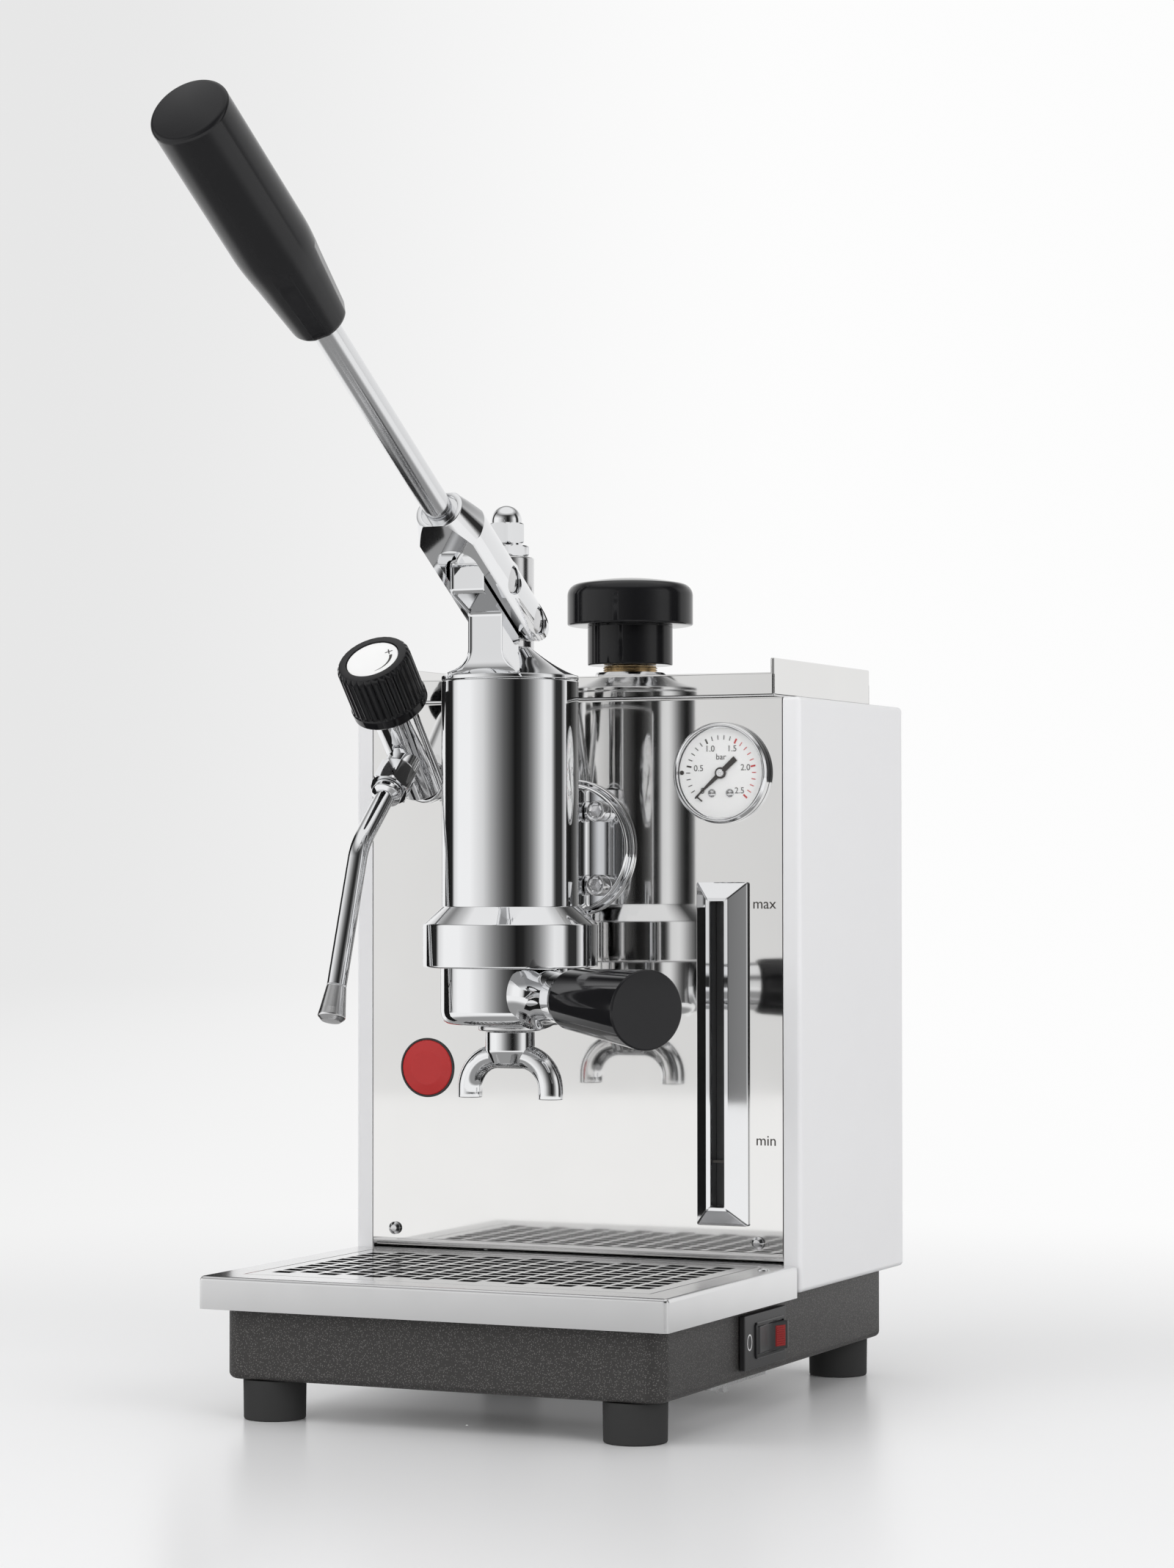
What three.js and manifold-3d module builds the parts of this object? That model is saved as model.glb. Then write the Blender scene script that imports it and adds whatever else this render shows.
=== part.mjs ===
// Countertop lever espresso machine, in millimetres, +Z up.
// While it is built, x = 0 is the machine's middle, y = 0 the front of its body and z = 0 the ground.
// The front faces -Y. At the end the whole object is centred on its footprint.

import * as THREE from 'three';
import { mergeVertices } from 'three/addons/utils/BufferGeometryUtils.js';
import Module from 'manifold-3d';

const wasm = await Module();
wasm.setup();

// Shared by all pieces
const fitGap = 0.3;
const cutRun = 6;
const sheet = 1.2;
const largeSides = 28;
const roundSides = 18;
const smallSides = 10;
const cornerSteps = 3;
const roundShare = 0.3;
const staggerShare = 0.5;
const bendSteps = 5;

// Feet and base
const footHeight = 16;
const footRadius = 12.3;
const footChamfer = 0.8;
const footSideInset = 16.2;
const footFrontInset = 13.2;
const footBackInset = 13;
const baseHeight = 29.3;
const baseSideInset = 7;
const baseFrontInset = 8;
const baseBackInset = 5;
const baseCorner = 8;
const baseWall = 2.5;
const baseFloor = 2.5;
const bottomPlateThick = 1.5;
const bottomPlateSideInset = 4;
const bottomPlateFront = 66;
const bottomPlateBack = 9;
const bottomPlateCorner = 3;
const bottomStudInset = 4;
const bottomStudSetback = 19;
const bottomStudRadius = 2.6;
const bottomStudRise = 2.8;

// Body housing
const bodyWidth = 200;
const bodyDepth = 119;
const bodyHeight = 237.3;
const bodyCorner = 2;
const sideFlange = 7.6;
const sideLip = 13;
const panelSideGap = 0.4;
const panelBend = 4;
const panelFoot = 8;
const panelCap = 10;

// Drip tray
const traySideInset = 0.9;
const trayReach = 132;
const trayBackGap = 1;
const trayRise = 11;
const traySkirt = 12.7;
const trayCorner = 2;
const grilleSideBorder = 13;
const grilleFrontBorder = 14;
const grilleBackBorder = 9;
const grilleLedge = 3;
const grilleSheet = 1.2;
const slotColumnPitch = 10.1;
const slotRowPitch = 8.7;
const slotBar = 2.2;
const basinDepth = 15;
const basinPlay = 0.6;
const basinRim = 2.6;
const basinSheet = 1;
const coverScrewInset = 6.3;
const coverScrewBack = 23;
const coverScrewRadius = 2.4;
const coverScrewRise = 1;

// Cup tray on top
const cupTrayInset = 11.8;
const cupTrayFront = 1;
const cupTrayBackInset = 8.6;
const cupTrayUpstand = 15.5;
const cupTrayRail = 9.6;
const cupTrayHem = 1.6;

// Boiler, filler, cap and safety valve
const boilerX = -14;
const boilerY = 59;
const boilerRadius = 54;
const boilerWall = 1.5;
const boilerLift = 34.7;
const boilerTopDrop = 20.6;
const boilerShoulder = 8;
const bossRadius = 25.2;
const elementFlange = 5;
const elementRod = 4;
const elementLoopWidth = 50;
const elementLoopHeight = 32;
const elementPost = 9;
const fillerY = 58;
const fillerRadius = 12.35;
const fillerBore = 8;
const fillerHexAcross = 29;
const fillerHexHeight = 12;
const fillerRise = 17.5;
const fillerNeckShow = 3.2;
const capStemRadius = 18;
const capStemHeight = 16.6;
const capHeadRadius = 26.6;
const capHeadHeight = 17.5;
const capCrown = 4.4;
const capEdge = 3;
const capCrownShare = 0.75;
const valveX = -47;
const valveY = 35;
const valveStemRadius = 7;
const valveBodyRadius = 11.7;
const valveBodyHeight = 61;
const valveNutRadius = 10.6;
const valveNutHeight = 4.6;
const valveHexRadius = 8.2;
const valveHexHeight = 8.6;
const valveDomeRadius = 6.6;
const nutRelief = 1;
const domeShares = [0.3, 0.6, 0.85];

// Group: flange, neck, cylinder and collar
const groupReach = 59;
const groupFlangeDrop = 60.4;
const ringRadius = 28.2;
const ringThick = 1.6;
const flangeRadius = 26.4;
const flangeThick = 2.6;
const neckWidth = 16;
const spigotRadius = 9.5;
const spigotLength = 6;
const inletRadius = 4;
const boltSpread = 15;
const boltHeadRadius = 4.3;
const boltHeadHeight = 5.6;
const boltShankRadius = 3;
const boltReach = 8;
const boltSocketRadius = 2.4;
const boltSocketDepth = 2.6;
const cylinderRadius = 27.1;
const cylinderBore = 22;
const cylinderRise = 65.8;
const collarRadius = 34.6;
const collarDrop = 47.1;
const collarHeight = 17;
const collarCone = 7;
const collarChamfer = 0.8;
const ledgeHeight = 4.9;
const lugGroove = 7;
const gasketSeat = 4.4;
const gasketOuter = 30;
const gasketInner = 24.2;
const screenThick = 1.2;
const screenRadius = 23.6;

// Bonnet with its pivot arm
const bonnetEdge = 1.6;
const bonnetSlopeDeg = 31;
const bonnetTopRadius = 8;
const bonnetSpigot = 4.6;
const armWidth = 14.8;
const armBack = 9;
const armFront = 21;
const armFace = 37;
const armKneeDrop = 12;
const armChinDrop = 5;
const armCrown = 11.5;
const armCrownBackDeg = 144;
const armCrownFrontDeg = 45;

// Piston, rod and spring
const pistonClear = 0.4;
const pistonDrop = 26;
const pistonLength = 25.6;
const pistonGroove = 1.4;
const pistonGrooveWidth = 4;
const rodRadius = 5.2;
const rodSeat = 9;
const eyeWall = 3;
const springWire = 2;
const springRadius = 17.2;
const springTurns = 5;
const springStepsPerTurn = 12;
const springWireSides = 6;

// Lever
const leverAngleDeg = 32.4;
const leverTravelDeg = 66;
const pivotReach = 23.4;
const pivotRise = 103.8;
const pinSpacing = 27;
const pinRadius = 3.5;
const pinHeadRadius = 5;
const pinHeadHeight = 1.4;
const pinPocketRadius = 5.5;
const pinPocketDepth = 3;
const pinRunning = 0.3;
const forkRadius = 13.8;
const forkThick = 16;
const forkSideGap = 0.7;
const forkSlotReach = 30.2;
const forkLength = 46;
const forkCone = 12.2;
const forkTopRadius = 9.3;
const forkHeel = 8;
const forkSeatRadius = 7.2;
const forkSeatDepth = 1.2;
const leverRodRadius = 5.5;
const leverRodSeat = 14;
const handleStart = 157.5;
const handleLength = 112.2;
const handleRadius = 14.55;
const handleNeckRadius = 10.8;
const handleTaper = 30.5;
const handleTaperRadius = 13.3;
const handleSwell = 16;
const handleSwellShares = [0.5, 0.72];
const handleRound = 3.5;
const handleCrown = 1.6;
const handleCrownShares = [0.4, 1.5, 0.3];

// Portafilter
const filterAngleDeg = 51.6;
const filterTiltDeg = 2;
const filterTurnDeg = 50;
const filterRadius = 27.6;
const filterHeight = 34.1;
const filterRound = 5.5;
const filterWall = 2.7;
const filterFloor = 5;
const lugReach = 4.2;
const lugHeight = 4;
const lugSpanDeg = 28;
const lugPlay = 0.4;
const notchSpareDeg = 6;
const basketWall = 0.8;
const basketDepth = 24;
const basketRim = 1.2;
const basketRimHeight = 1;
const handleDrop = 9.3;
const filterNeckRoot = 9.7;
const filterNeckEnd = 10.4;
const filterNeckReach = 54.5;
const filterGripReach = 115.5;
const filterGripStart = 11.9;
const filterGripEnd = 15;
const filterGripRound = 2.2;
const filterGripEdge = 0.6;
const gripRoundShares = [0.3, 0.4, 1.6];
const gripTenon = 4;
const gripTenonLength = 14;
const washerRadius = 12.6;
const washerThick = 2.2;
const outletRadius = 7;
const spoutAngleDeg = -56.4;
const spoutNeckRadius = 9.75;
const spoutNeckHeight = 12.4;
const spoutSpread = 36.8;
const spoutArmRadius = 4.9;
const spoutBend = 13;
const spoutArchDrop = 9.8;
const spoutMouthDrop = 26.4;
const spoutMouthBore = 3.5;
const spoutMouthDepth = 5;

// Steam valve, knob and wand
const sideColumnInset = 25.5;
const steamDrop = 38.8;
const steamTiltDeg = 48;
const steamRadius = 9.2;
const steamFoot = 5.3;
const steamRingRadius = 9;
const steamRingReach = 4;
const steamRingRise = 6.5;
const shankRadius = 6;
const shankLength = 16;
const stemRadius = 3.2;
const stemBore = 10;
const knobGap = 0.8;
const knobReach = 74.3;
const knobLength = 25.1;
const knobTopRadius = 15.5;
const knobBandRadius = 15.9;
const knobBand = 4.2;
const knobFlutes = 26;
const knobFluteDepth = 0.7;
const knobSkirt = 3.6;
const knobDiscRadius = 10.9;
const knobDiscDepth = 1.4;
const knobCrown = 1.6;
const knobCrownShare = 1.5;
const outletAlong = 25.2;
const outletBossRadius = 7;
const outletBossReach = 13.2;
const nutAcross = 15;
const nutHeight = 11;
const wandCollarRadius = 6.2;
const wandCollarLength = 4.5;
const wandRadius = 4;
const wandBendReach = 58.7;
const wandBendRadius = 22;
const wandLowerLength = 58.8;
const wandLeanDeg = 19;
const tipLength = 14.6;
const tipRadius = 5.7;
const tipRound = 1.6;

// Gauge, sight glass and pilot lamp
const gaugeDrop = 30.3;
const gaugeRadius = 20.4;
const gaugeRise = 4.7;
const gaugeRimWidth = 1.9;
const gaugeCaseRadius = 18;
const gaugeCaseDepth = 19;
const gaugeFloor = 2;
const dialThick = 0.8;
const glassThick = 1;
const needleThick = 0.5;
const needleLength = 12.6;
const needleTail = 5.5;
const needleWidth = 1.5;
const needleHub = 2;
const needleRestDeg = 132;
const spindleRadius = 0.9;
const sightDrop = 74.1;
const sightLift = 14.6;
const sightWidth = 22;
const sightRise = 7;
const sightFaceWidth = 9.4;
const sightBevel = 6.3;
const sightSlotWidth = 5.9;
const sightSlotInset = 7.8;
const sightBackWidth = 12.6;
const sightBackDepth = 7;
const sightBackInset = 5;
const sightTubeRadius = 4.5;
const sightTubeInset = 3.4;
const lampLift = 75.1;
const lampRadius = 12.2;
const lampRecess = 0.5;
const lampDome = 1.2;
const lampBodyRadius = 9.6;
const lampBodyDepth = 20;
const lampLens = 3;
const lampDomeShares = [0.7, 0.4];
const panelScrewInset = 10.5;
const panelScrewLift = 8.1;
const panelScrewRadius = 2.6;
const panelScrewHead = 1.7;
const panelScrewShank = 1.9;
const panelScrewLength = 9;

// Switch and power inlet
const switchY = 24.2;
const switchZ = 30.5;
const switchPlateLength = 42.9;
const switchPlateHeight = 21.3;
const switchPlateThick = 2.5;
const switchPlateShift = 3.8;
const switchBoxDepth = 22;
const switchBoxWall = 1.4;
const rockerLength = 27;
const rockerHeight = 11;
const rockerDepth = 6;
const rockerDip = 1.8;
const rockerProud = 3.2;
const rockerPivotDepth = 3.6;
const rockerPlay = 0.5;
const rockerTiltDeg = 8;
const rockerSwing = 2;
const rockerEndShare = 0.96;
const rockerCrestShare = 0.8;
const inletInset = 30;
const inletLift = 32.7;
const inletWidth = 48;
const inletHeight = 24;
const inletFlange = 2;
const inletBodyWidth = 27;
const inletBodyHeight = 19;
const inletBodyDepth = 20;
const inletWall = 1.8;
const inletPinWidth = 2;
const inletPinHeight = 5;
const inletPinSpread = 7;

// Levels and places worked out from the sizes above
const bodyBottom = footHeight + baseHeight;
const bodyTop = bodyBottom + bodyHeight;
const trayTop = bodyBottom + trayRise;
const trayHalf = bodyWidth / 2 - traySideInset;
const baseHalf = bodyWidth / 2 - baseSideInset;
const baseFront = -trayReach + baseFrontInset;
const baseBack = bodyDepth - baseBackInset;
const baseTop = bodyBottom - fitGap;
const basinTop = trayTop - sheet - fitGap;
const wallTop = basinTop - basinSheet - fitGap;
const panelHalf = bodyWidth / 2 - sideFlange - panelSideGap;
const sideColumnX = panelHalf - sideColumnInset;
const panelScrewX = panelHalf - panelScrewInset;
const panelScrewZ = trayTop + panelScrewLift;
const inletX = panelHalf - inletInset;
const inletZ = bodyBottom + inletLift;
const steamZ = bodyTop - steamDrop;
const gaugeZ = bodyTop - gaugeDrop;
const lampZ = trayTop + lampLift;
const sightTop = bodyTop - sightDrop;
const sightBottom = trayTop + sightLift;
const groupFlangeZ = bodyTop - groupFlangeDrop;
const cylinderTop = groupFlangeZ + cylinderRise;
const collarBottom = groupFlangeZ - collarDrop;
const pistonBottom = groupFlangeZ - pistonDrop;
const pivotZ = groupFlangeZ + pivotRise;
const armKneeZ = pivotZ - armKneeDrop;
const armChinZ = pivotZ - armChinDrop;
const boilerBottom = bodyBottom + boilerLift;
const grilleHalf = trayHalf - grilleSideBorder;
const grilleFront = -trayReach + grilleFrontBorder;
const grilleBack = -trayBackGap - grilleBackBorder;
const boilerTop = bodyTop - boilerTopDrop;
const cupFloorBottom = bodyTop + fitGap;
const cupFloorTop = cupFloorBottom + sheet;
const cupHalf = bodyWidth / 2 - cupTrayInset;
const collarTop = collarBottom + collarHeight;
const coneTop = collarTop + collarCone;
const grooveBottom = collarBottom + ledgeHeight;
const grooveTop = grooveBottom + lugGroove;
const gasketTop = grooveTop + gasketSeat;
const bonnetBase = cylinderTop + fitGap;
const bonnetConeHeight = (cylinderRadius - bonnetTopRadius) * Math.tan(rad(bonnetSlopeDeg));
const bonnetTop = bonnetBase + bonnetEdge + bonnetConeHeight;
const pivotY = -groupReach - pivotReach;
const rodPinZ = pivotZ - pinSpacing * Math.sin(rad(leverAngleDeg));
const travelShare = Math.cos(rad(Math.max(leverAngleDeg, leverTravelDeg - leverAngleDeg)));
const slotCentre = pinSpacing * (1 + travelShare) / 2 - pivotReach;
const slotReach = pinSpacing * (1 - travelShare) / 2 + pinRadius + pinRunning;
const slotRise = pinRadius + pinRunning * 2;
const eyeReach = slotReach + eyeWall;
const eyeRise = slotRise + eyeWall;
const pistonTop = pistonBottom + pistonLength;
const filterTop = grooveTop - fitGap;
const filterBottom = filterTop - filterHeight;
const handleZ = collarBottom - handleDrop;
const steamTilt = rad(90 - steamTiltDeg);
const knobStart = knobReach - knobLength;
const steamLength = knobStart + knobSkirt - knobGap;

function rad(degrees) {
  return degrees * Math.PI / 180;
}

// Materials
function finish(color, roughness, metalness) {
  return new THREE.MeshStandardMaterial({ color, roughness, metalness });
}

const chrome = finish(0xd6d8da, 0.08, 1);
const steel = finish(0xb9bbbd, 0.25, 1);
const mirrorSteel = finish(0xe2e3e4, 0.04, 1);
const whitePaint = finish(0xe9e9ea, 0.35, 0);
const hammerGrey = finish(0x4a4847, 0.45, 0.4);
const blackGloss = finish(0x0d0d0e, 0.15, 0);
const blackRubber = finish(0x161617, 0.7, 0);
const brass = finish(0xb5975a, 0.25, 1);
const copper = finish(0xb06a48, 0.3, 1);
const redLens = finish(0xc0211f, 0.2, 0);
const dialWhite = finish(0xf2f2ef, 0.6, 0);
const glass = finish(0xdfe8ea, 0.05, 0);
const needleBlack = finish(0x1c1c1d, 0.4, 0.2);

// Turning a geometry into a solid and back
function solidOf(geometry) {
  const plain = geometry.index ? geometry.toNonIndexed() : geometry.clone();
  plain.deleteAttribute('normal');
  plain.deleteAttribute('uv');
  const merged = mergeVertices(plain);
  const vertProperties = new Float32Array(merged.attributes.position.array);
  const kept = [];
  for (let i = 0; i < merged.index.count; i += 3) {
    const [a, b, c] = [0, 1, 2].map((k) => merged.index.getX(i + k));
    if (a !== b && b !== c && a !== c) kept.push(a, b, c);
  }
  const triVerts = new Uint32Array(kept);
  if (signedVolume(vertProperties, triVerts) < 0) triVerts.reverse();
  return new wasm.Manifold(new wasm.Mesh({ numProp: 3, vertProperties, triVerts }));
}

function signedVolume(places, corners) {
  const [a, b, c] = [new THREE.Vector3(), new THREE.Vector3(), new THREE.Vector3()];
  let total = 0;
  for (let i = 0; i < corners.length; i += 3) {
    a.fromArray(places, corners[i] * 3);
    b.fromArray(places, corners[i + 1] * 3);
    c.fromArray(places, corners[i + 2] * 3);
    total += a.dot(b.cross(c)) / 6;
  }
  return total;
}

function geometryOf(solid) {
  const { vertProperties, triVerts, numProp } = solid.getMesh();
  const geometry = new THREE.BufferGeometry();
  const count = vertProperties.length / numProp;
  const places = new Float32Array(count * 3);
  for (let i = 0; i < count; i += 1) {
    places.set(vertProperties.subarray(i * numProp, i * numProp + 3), i * 3);
  }
  geometry.setAttribute('position', new THREE.BufferAttribute(places, 3));
  geometry.setIndex(new THREE.BufferAttribute(new Uint32Array(triVerts), 1));
  geometry.computeVertexNormals();
  return geometry;
}

function join(...solids) {
  return solids.reduce((sum, next) => sum.add(next));
}

function cut(solid, ...cutters) {
  return cutters.reduce((left, next) => left.subtract(next), solid);
}

// Shapes
function block([x0, x1], [y0, y1], [z0, z1]) {
  const geometry = new THREE.BoxGeometry(x1 - x0, y1 - y0, z1 - z0);
  geometry.translate((x0 + x1) / 2, (y0 + y1) / 2, (z0 + z1) / 2);
  return solidOf(geometry);
}

// A profile of [radius, height] points, turned about a vertical axis through x, y
function turned(profile, sides, x = 0, y = 0) {
  const geometry = new THREE.LatheGeometry(profile.map(([r, z]) => new THREE.Vector2(r, z)), sides);
  geometry.rotateX(Math.PI / 2);
  geometry.translate(x, y, 0);
  return solidOf(geometry);
}

// A full disc or rod standing on z0, about x, y
function post(radius, z0, z1, sides, x = 0, y = 0) {
  return turned([[0, z0], [radius, z0], [radius, z1], [0, z1]], sides, x, y);
}

// A round bar along Y
function barY(radius, y0, y1, x, z, sides) {
  const geometry = new THREE.CylinderGeometry(radius, radius, y1 - y0, sides);
  geometry.translate(x, (y0 + y1) / 2, z);
  return solidOf(geometry);
}

// A round bar along X
function barX(radius, x0, x1, y, z, sides) {
  const geometry = new THREE.CylinderGeometry(radius, radius, x1 - x0, sides);
  geometry.rotateZ(Math.PI / 2);
  geometry.translate((x0 + x1) / 2, y, z);
  return solidOf(geometry);
}

function outlineOf(points) {
  return new THREE.Shape(points.map(([a, b]) => new THREE.Vector2(a, b)));
}

// An outline in x and y, pulled up from z0 to z1
function pulledUp(shape, z0, z1) {
  const geometry = new THREE.ExtrudeGeometry(shape, {
    depth: z1 - z0, bevelEnabled: false, curveSegments: cornerSteps,
  });
  geometry.translate(0, 0, z0);
  return solidOf(geometry);
}

// An outline in y and z, pulled along X from x0 to x1
function pulledAcross(shape, x0, x1) {
  const geometry = new THREE.ExtrudeGeometry(shape, {
    depth: x1 - x0, bevelEnabled: false, curveSegments: cornerSteps,
  });
  const turn = new THREE.Matrix4().makeBasis(
    new THREE.Vector3(0, 1, 0), new THREE.Vector3(0, 0, 1), new THREE.Vector3(1, 0, 0));
  geometry.applyMatrix4(turn);
  geometry.translate(x0, 0, 0);
  return solidOf(geometry);
}

function roundedBox(x0, x1, y0, y1, radius) {
  const shape = new THREE.Shape();
  shape.moveTo(x0 + radius, y0);
  shape.lineTo(x1 - radius, y0);
  shape.absarc(x1 - radius, y0 + radius, radius, -Math.PI / 2, 0);
  shape.lineTo(x1, y1 - radius);
  shape.absarc(x1 - radius, y1 - radius, radius, 0, Math.PI / 2);
  shape.lineTo(x0 + radius, y1);
  shape.absarc(x0 + radius, y1 - radius, radius, Math.PI / 2, Math.PI);
  shape.lineTo(x0, y0 + radius);
  shape.absarc(x0 + radius, y0 + radius, radius, Math.PI, Math.PI * 1.5);
  return shape;
}

function hexagon(across) {
  const corner = across / Math.sqrt(3);
  return outlineOf(Array.from({ length: 6 }, (_, i) => {
    const angle = i * Math.PI / 3;
    return [corner * Math.cos(angle), corner * Math.sin(angle)];
  }));
}

function discOutline(radius, sides) {
  return outlineOf(Array.from({ length: sides }, (_, i) => {
    const angle = i * 2 * Math.PI / sides;
    return [radius * Math.cos(angle), radius * Math.sin(angle)];
  }));
}

// A round tube along a path, with flat closed ends
function tube(path, radius, sides, steps) {
  return solidOf(new THREE.ExtrudeGeometry(discOutline(radius, sides), {
    extrudePath: path, steps, bevelEnabled: false,
  }));
}

// A round bend from one straight run to the next
class Bend extends THREE.Curve {
  constructor(enter, centre, axis, turn) {
    super();
    this.centre = centre;
    this.arm = enter.clone().sub(centre);
    this.axis = axis;
    this.turn = turn;
  }

  getPoint(t, target = new THREE.Vector3()) {
    return target.copy(this.arm).applyAxisAngle(this.axis, this.turn * t).add(this.centre);
  }
}

// Straight runs through the given corners, each corner rounded by its bend
function bentPath(corners, bend) {
  const path = new THREE.CurvePath();
  let start = corners[0];
  for (let i = 1; i < corners.length - 1; i += 1) {
    const inward = corners[i - 1].clone().sub(corners[i]).normalize();
    const onward = corners[i + 1].clone().sub(corners[i]).normalize();
    const halfTurn = inward.angleTo(onward) / 2;
    const setback = bend / Math.tan(halfTurn);
    const enter = corners[i].clone().addScaledVector(inward, setback);
    const leave = corners[i].clone().addScaledVector(onward, setback);
    path.add(new THREE.LineCurve3(start, enter));
    const between = inward.clone().add(onward).normalize();
    const centre = corners[i].clone().addScaledVector(between, bend / Math.sin(halfTurn));
    path.add(new Bend(enter, centre, onward.clone().cross(inward).normalize(), Math.PI - halfTurn * 2));
    start = leave;
  }
  path.add(new THREE.LineCurve3(start, corners[corners.length - 1]));
  return path;
}

// Moves a solid from a tilted or turned local frame into the machine's frame
function placed(solid, matrix) {
  const geometry = geometryOf(solid);
  geometry.applyMatrix4(matrix);
  return solidOf(geometry);
}

// The scene graph
const machine = new THREE.Group();

function add(name, solid, material, parent = machine) {
  const mesh = new THREE.Mesh(geometryOf(solid), material);
  mesh.name = name;
  parent.add(mesh);
  return mesh;
}

// Feet and base
function addFoot(name, x, y) {
  const height = footHeight - fitGap;
  const foot = turned([
    [0, 0], [footRadius - footChamfer, 0], [footRadius, footChamfer],
    [footRadius, height], [0, height],
  ], roundSides, x, y);
  add(name, foot, blackRubber);
}

function addBase() {
  const outer = roundedBox(-baseHalf, baseHalf, baseFront, baseBack, baseCorner);
  const hollow = roundedBox(-baseHalf + baseWall, baseHalf - baseWall,
    baseFront + baseWall, baseBack - baseWall, baseCorner - baseWall);
  const low = pulledUp(outer, footHeight, baseTop);
  const tall = pulledUp(outer, footHeight, wallTop)
    .intersect(block([-bodyWidth, bodyWidth], [baseFront - cutRun, -trayBackGap - sheet], [0, wallTop]));
  const inside = pulledUp(hollow, footHeight + baseFloor, wallTop + cutRun);
  const switchHole = block([baseHalf - baseWall - cutRun, baseHalf + cutRun],
    [-switchY - rockerHalf() - switchBoxWall - fitGap, -switchY + rockerHalf() + switchBoxWall + fitGap],
    [switchZ - switchBoxHalf() - fitGap, switchZ + switchBoxHalf() + fitGap]);
  add('base_pan', cut(join(low, tall), inside, switchHole), hammerGrey);
}

function addBottomPlate() {
  const half = baseHalf - bottomPlateSideInset;
  const outline = roundedBox(-half, half, -bottomPlateFront, -bottomPlateBack, bottomPlateCorner);
  const top = footHeight - fitGap;
  const under = top - bottomPlateThick;
  const stud = post(bottomStudRadius, under - bottomStudRise, top - bottomPlateThick / 2, smallSides,
    half - bottomStudInset, -bottomPlateFront + bottomStudSetback);
  add('bottom_plate', join(pulledUp(outline, under, top), stud), steel);
}

// Side, front and rear sheets
function addSidePanel(name, side) {
  const x1 = bodyWidth / 2;
  const plan = new THREE.Shape();
  plan.moveTo(x1 - sideFlange, 0);
  plan.lineTo(x1 - bodyCorner, 0);
  plan.absarc(x1 - bodyCorner, bodyCorner, bodyCorner, -Math.PI / 2, 0);
  plan.lineTo(x1, bodyDepth - bodyCorner);
  plan.absarc(x1 - bodyCorner, bodyDepth - bodyCorner, bodyCorner, 0, Math.PI / 2);
  plan.lineTo(x1 - sideFlange, bodyDepth);
  plan.lineTo(x1 - sideFlange, bodyDepth - sheet);
  plan.lineTo(x1 - bodyCorner, bodyDepth - sheet);
  plan.lineTo(x1 - sheet, bodyDepth - bodyCorner);
  plan.lineTo(x1 - sheet, bodyCorner);
  plan.lineTo(x1 - bodyCorner, sheet);
  plan.lineTo(x1 - sideFlange, sheet);
  const wall = pulledUp(plan, bodyBottom, bodyTop);
  const lid = roundedBox(x1 - sideLip, x1, 0, bodyDepth, bodyCorner);
  const cap = pulledUp(lid, bodyTop - sheet, bodyTop)
    .subtract(block([0, x1 - sideFlange], [-cutRun, panelCap + fitGap], [0, bodyTop + cutRun]))
    .subtract(block([0, x1 - sideFlange], [bodyDepth - panelCap - fitGap, bodyDepth + cutRun],
      [0, bodyTop + cutRun]));
  const floor = pulledUp(lid, bodyBottom, bodyBottom + sheet)
    .subtract(block([0, x1 - sideFlange], [-cutRun, sheet + fitGap], [0, bodyTop]))
    .subtract(block([0, x1 - sideFlange], [bodyDepth - sheet - fitGap, bodyDepth + cutRun], [0, bodyTop]));
  const solid = join(wall, cap, floor);
  const mirrored = new THREE.Matrix4().makeScale(side, 1, 1);
  add(name, side > 0 ? solid : placed(solid, mirrored), whitePaint);
}

// The mirror front sheet: a rounded foot that turns back, a flat face and a cap that turns back
function addFrontPanel() {
  const z0 = trayTop + fitGap;
  const z1 = bodyTop;
  const section = new THREE.Shape();
  section.moveTo(panelFoot, z0);
  section.lineTo(panelBend, z0);
  section.absarc(panelBend, z0 + panelBend, panelBend, -Math.PI / 2, -Math.PI, true);
  section.lineTo(0, z1);
  section.lineTo(panelCap, z1);
  section.lineTo(panelCap, z1 - sheet);
  section.lineTo(sheet, z1 - sheet);
  section.lineTo(sheet, z0 + panelBend);
  section.absarc(panelBend, z0 + panelBend, panelBend - sheet, Math.PI, Math.PI * 1.5, false);
  section.lineTo(panelFoot, z0 + sheet);
  const face = pulledAcross(section, -panelHalf, panelHalf);
  const hole = (radius, x, z, sides) => barY(radius, -cutRun, sheet + cutRun / 2, x, z, sides);
  const sightHalf = sightBackWidth / 2 + fitGap;
  const sightHole = block([sideColumnX - sightHalf, sideColumnX + sightHalf], [-cutRun, cutRun],
    [sightBottom + sightBackInset - fitGap, sightTop - sightBackInset + fitGap]);
  add('front_panel', cut(face,
    hole(bossRadius + fitGap, 0, groupFlangeZ, roundSides),
    hole(gaugeCaseRadius + fitGap, sideColumnX, gaugeZ, roundSides),
    hole(lampRadius, -sideColumnX, lampZ, roundSides),
    hole(shankRadius + fitGap, -sideColumnX, steamShankZ(), smallSides),
    hole(panelScrewShank + fitGap, -panelScrewX, panelScrewZ, smallSides),
    hole(panelScrewShank + fitGap, panelScrewX, panelScrewZ, smallSides),
    sightHole), mirrorSteel);
}

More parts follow.
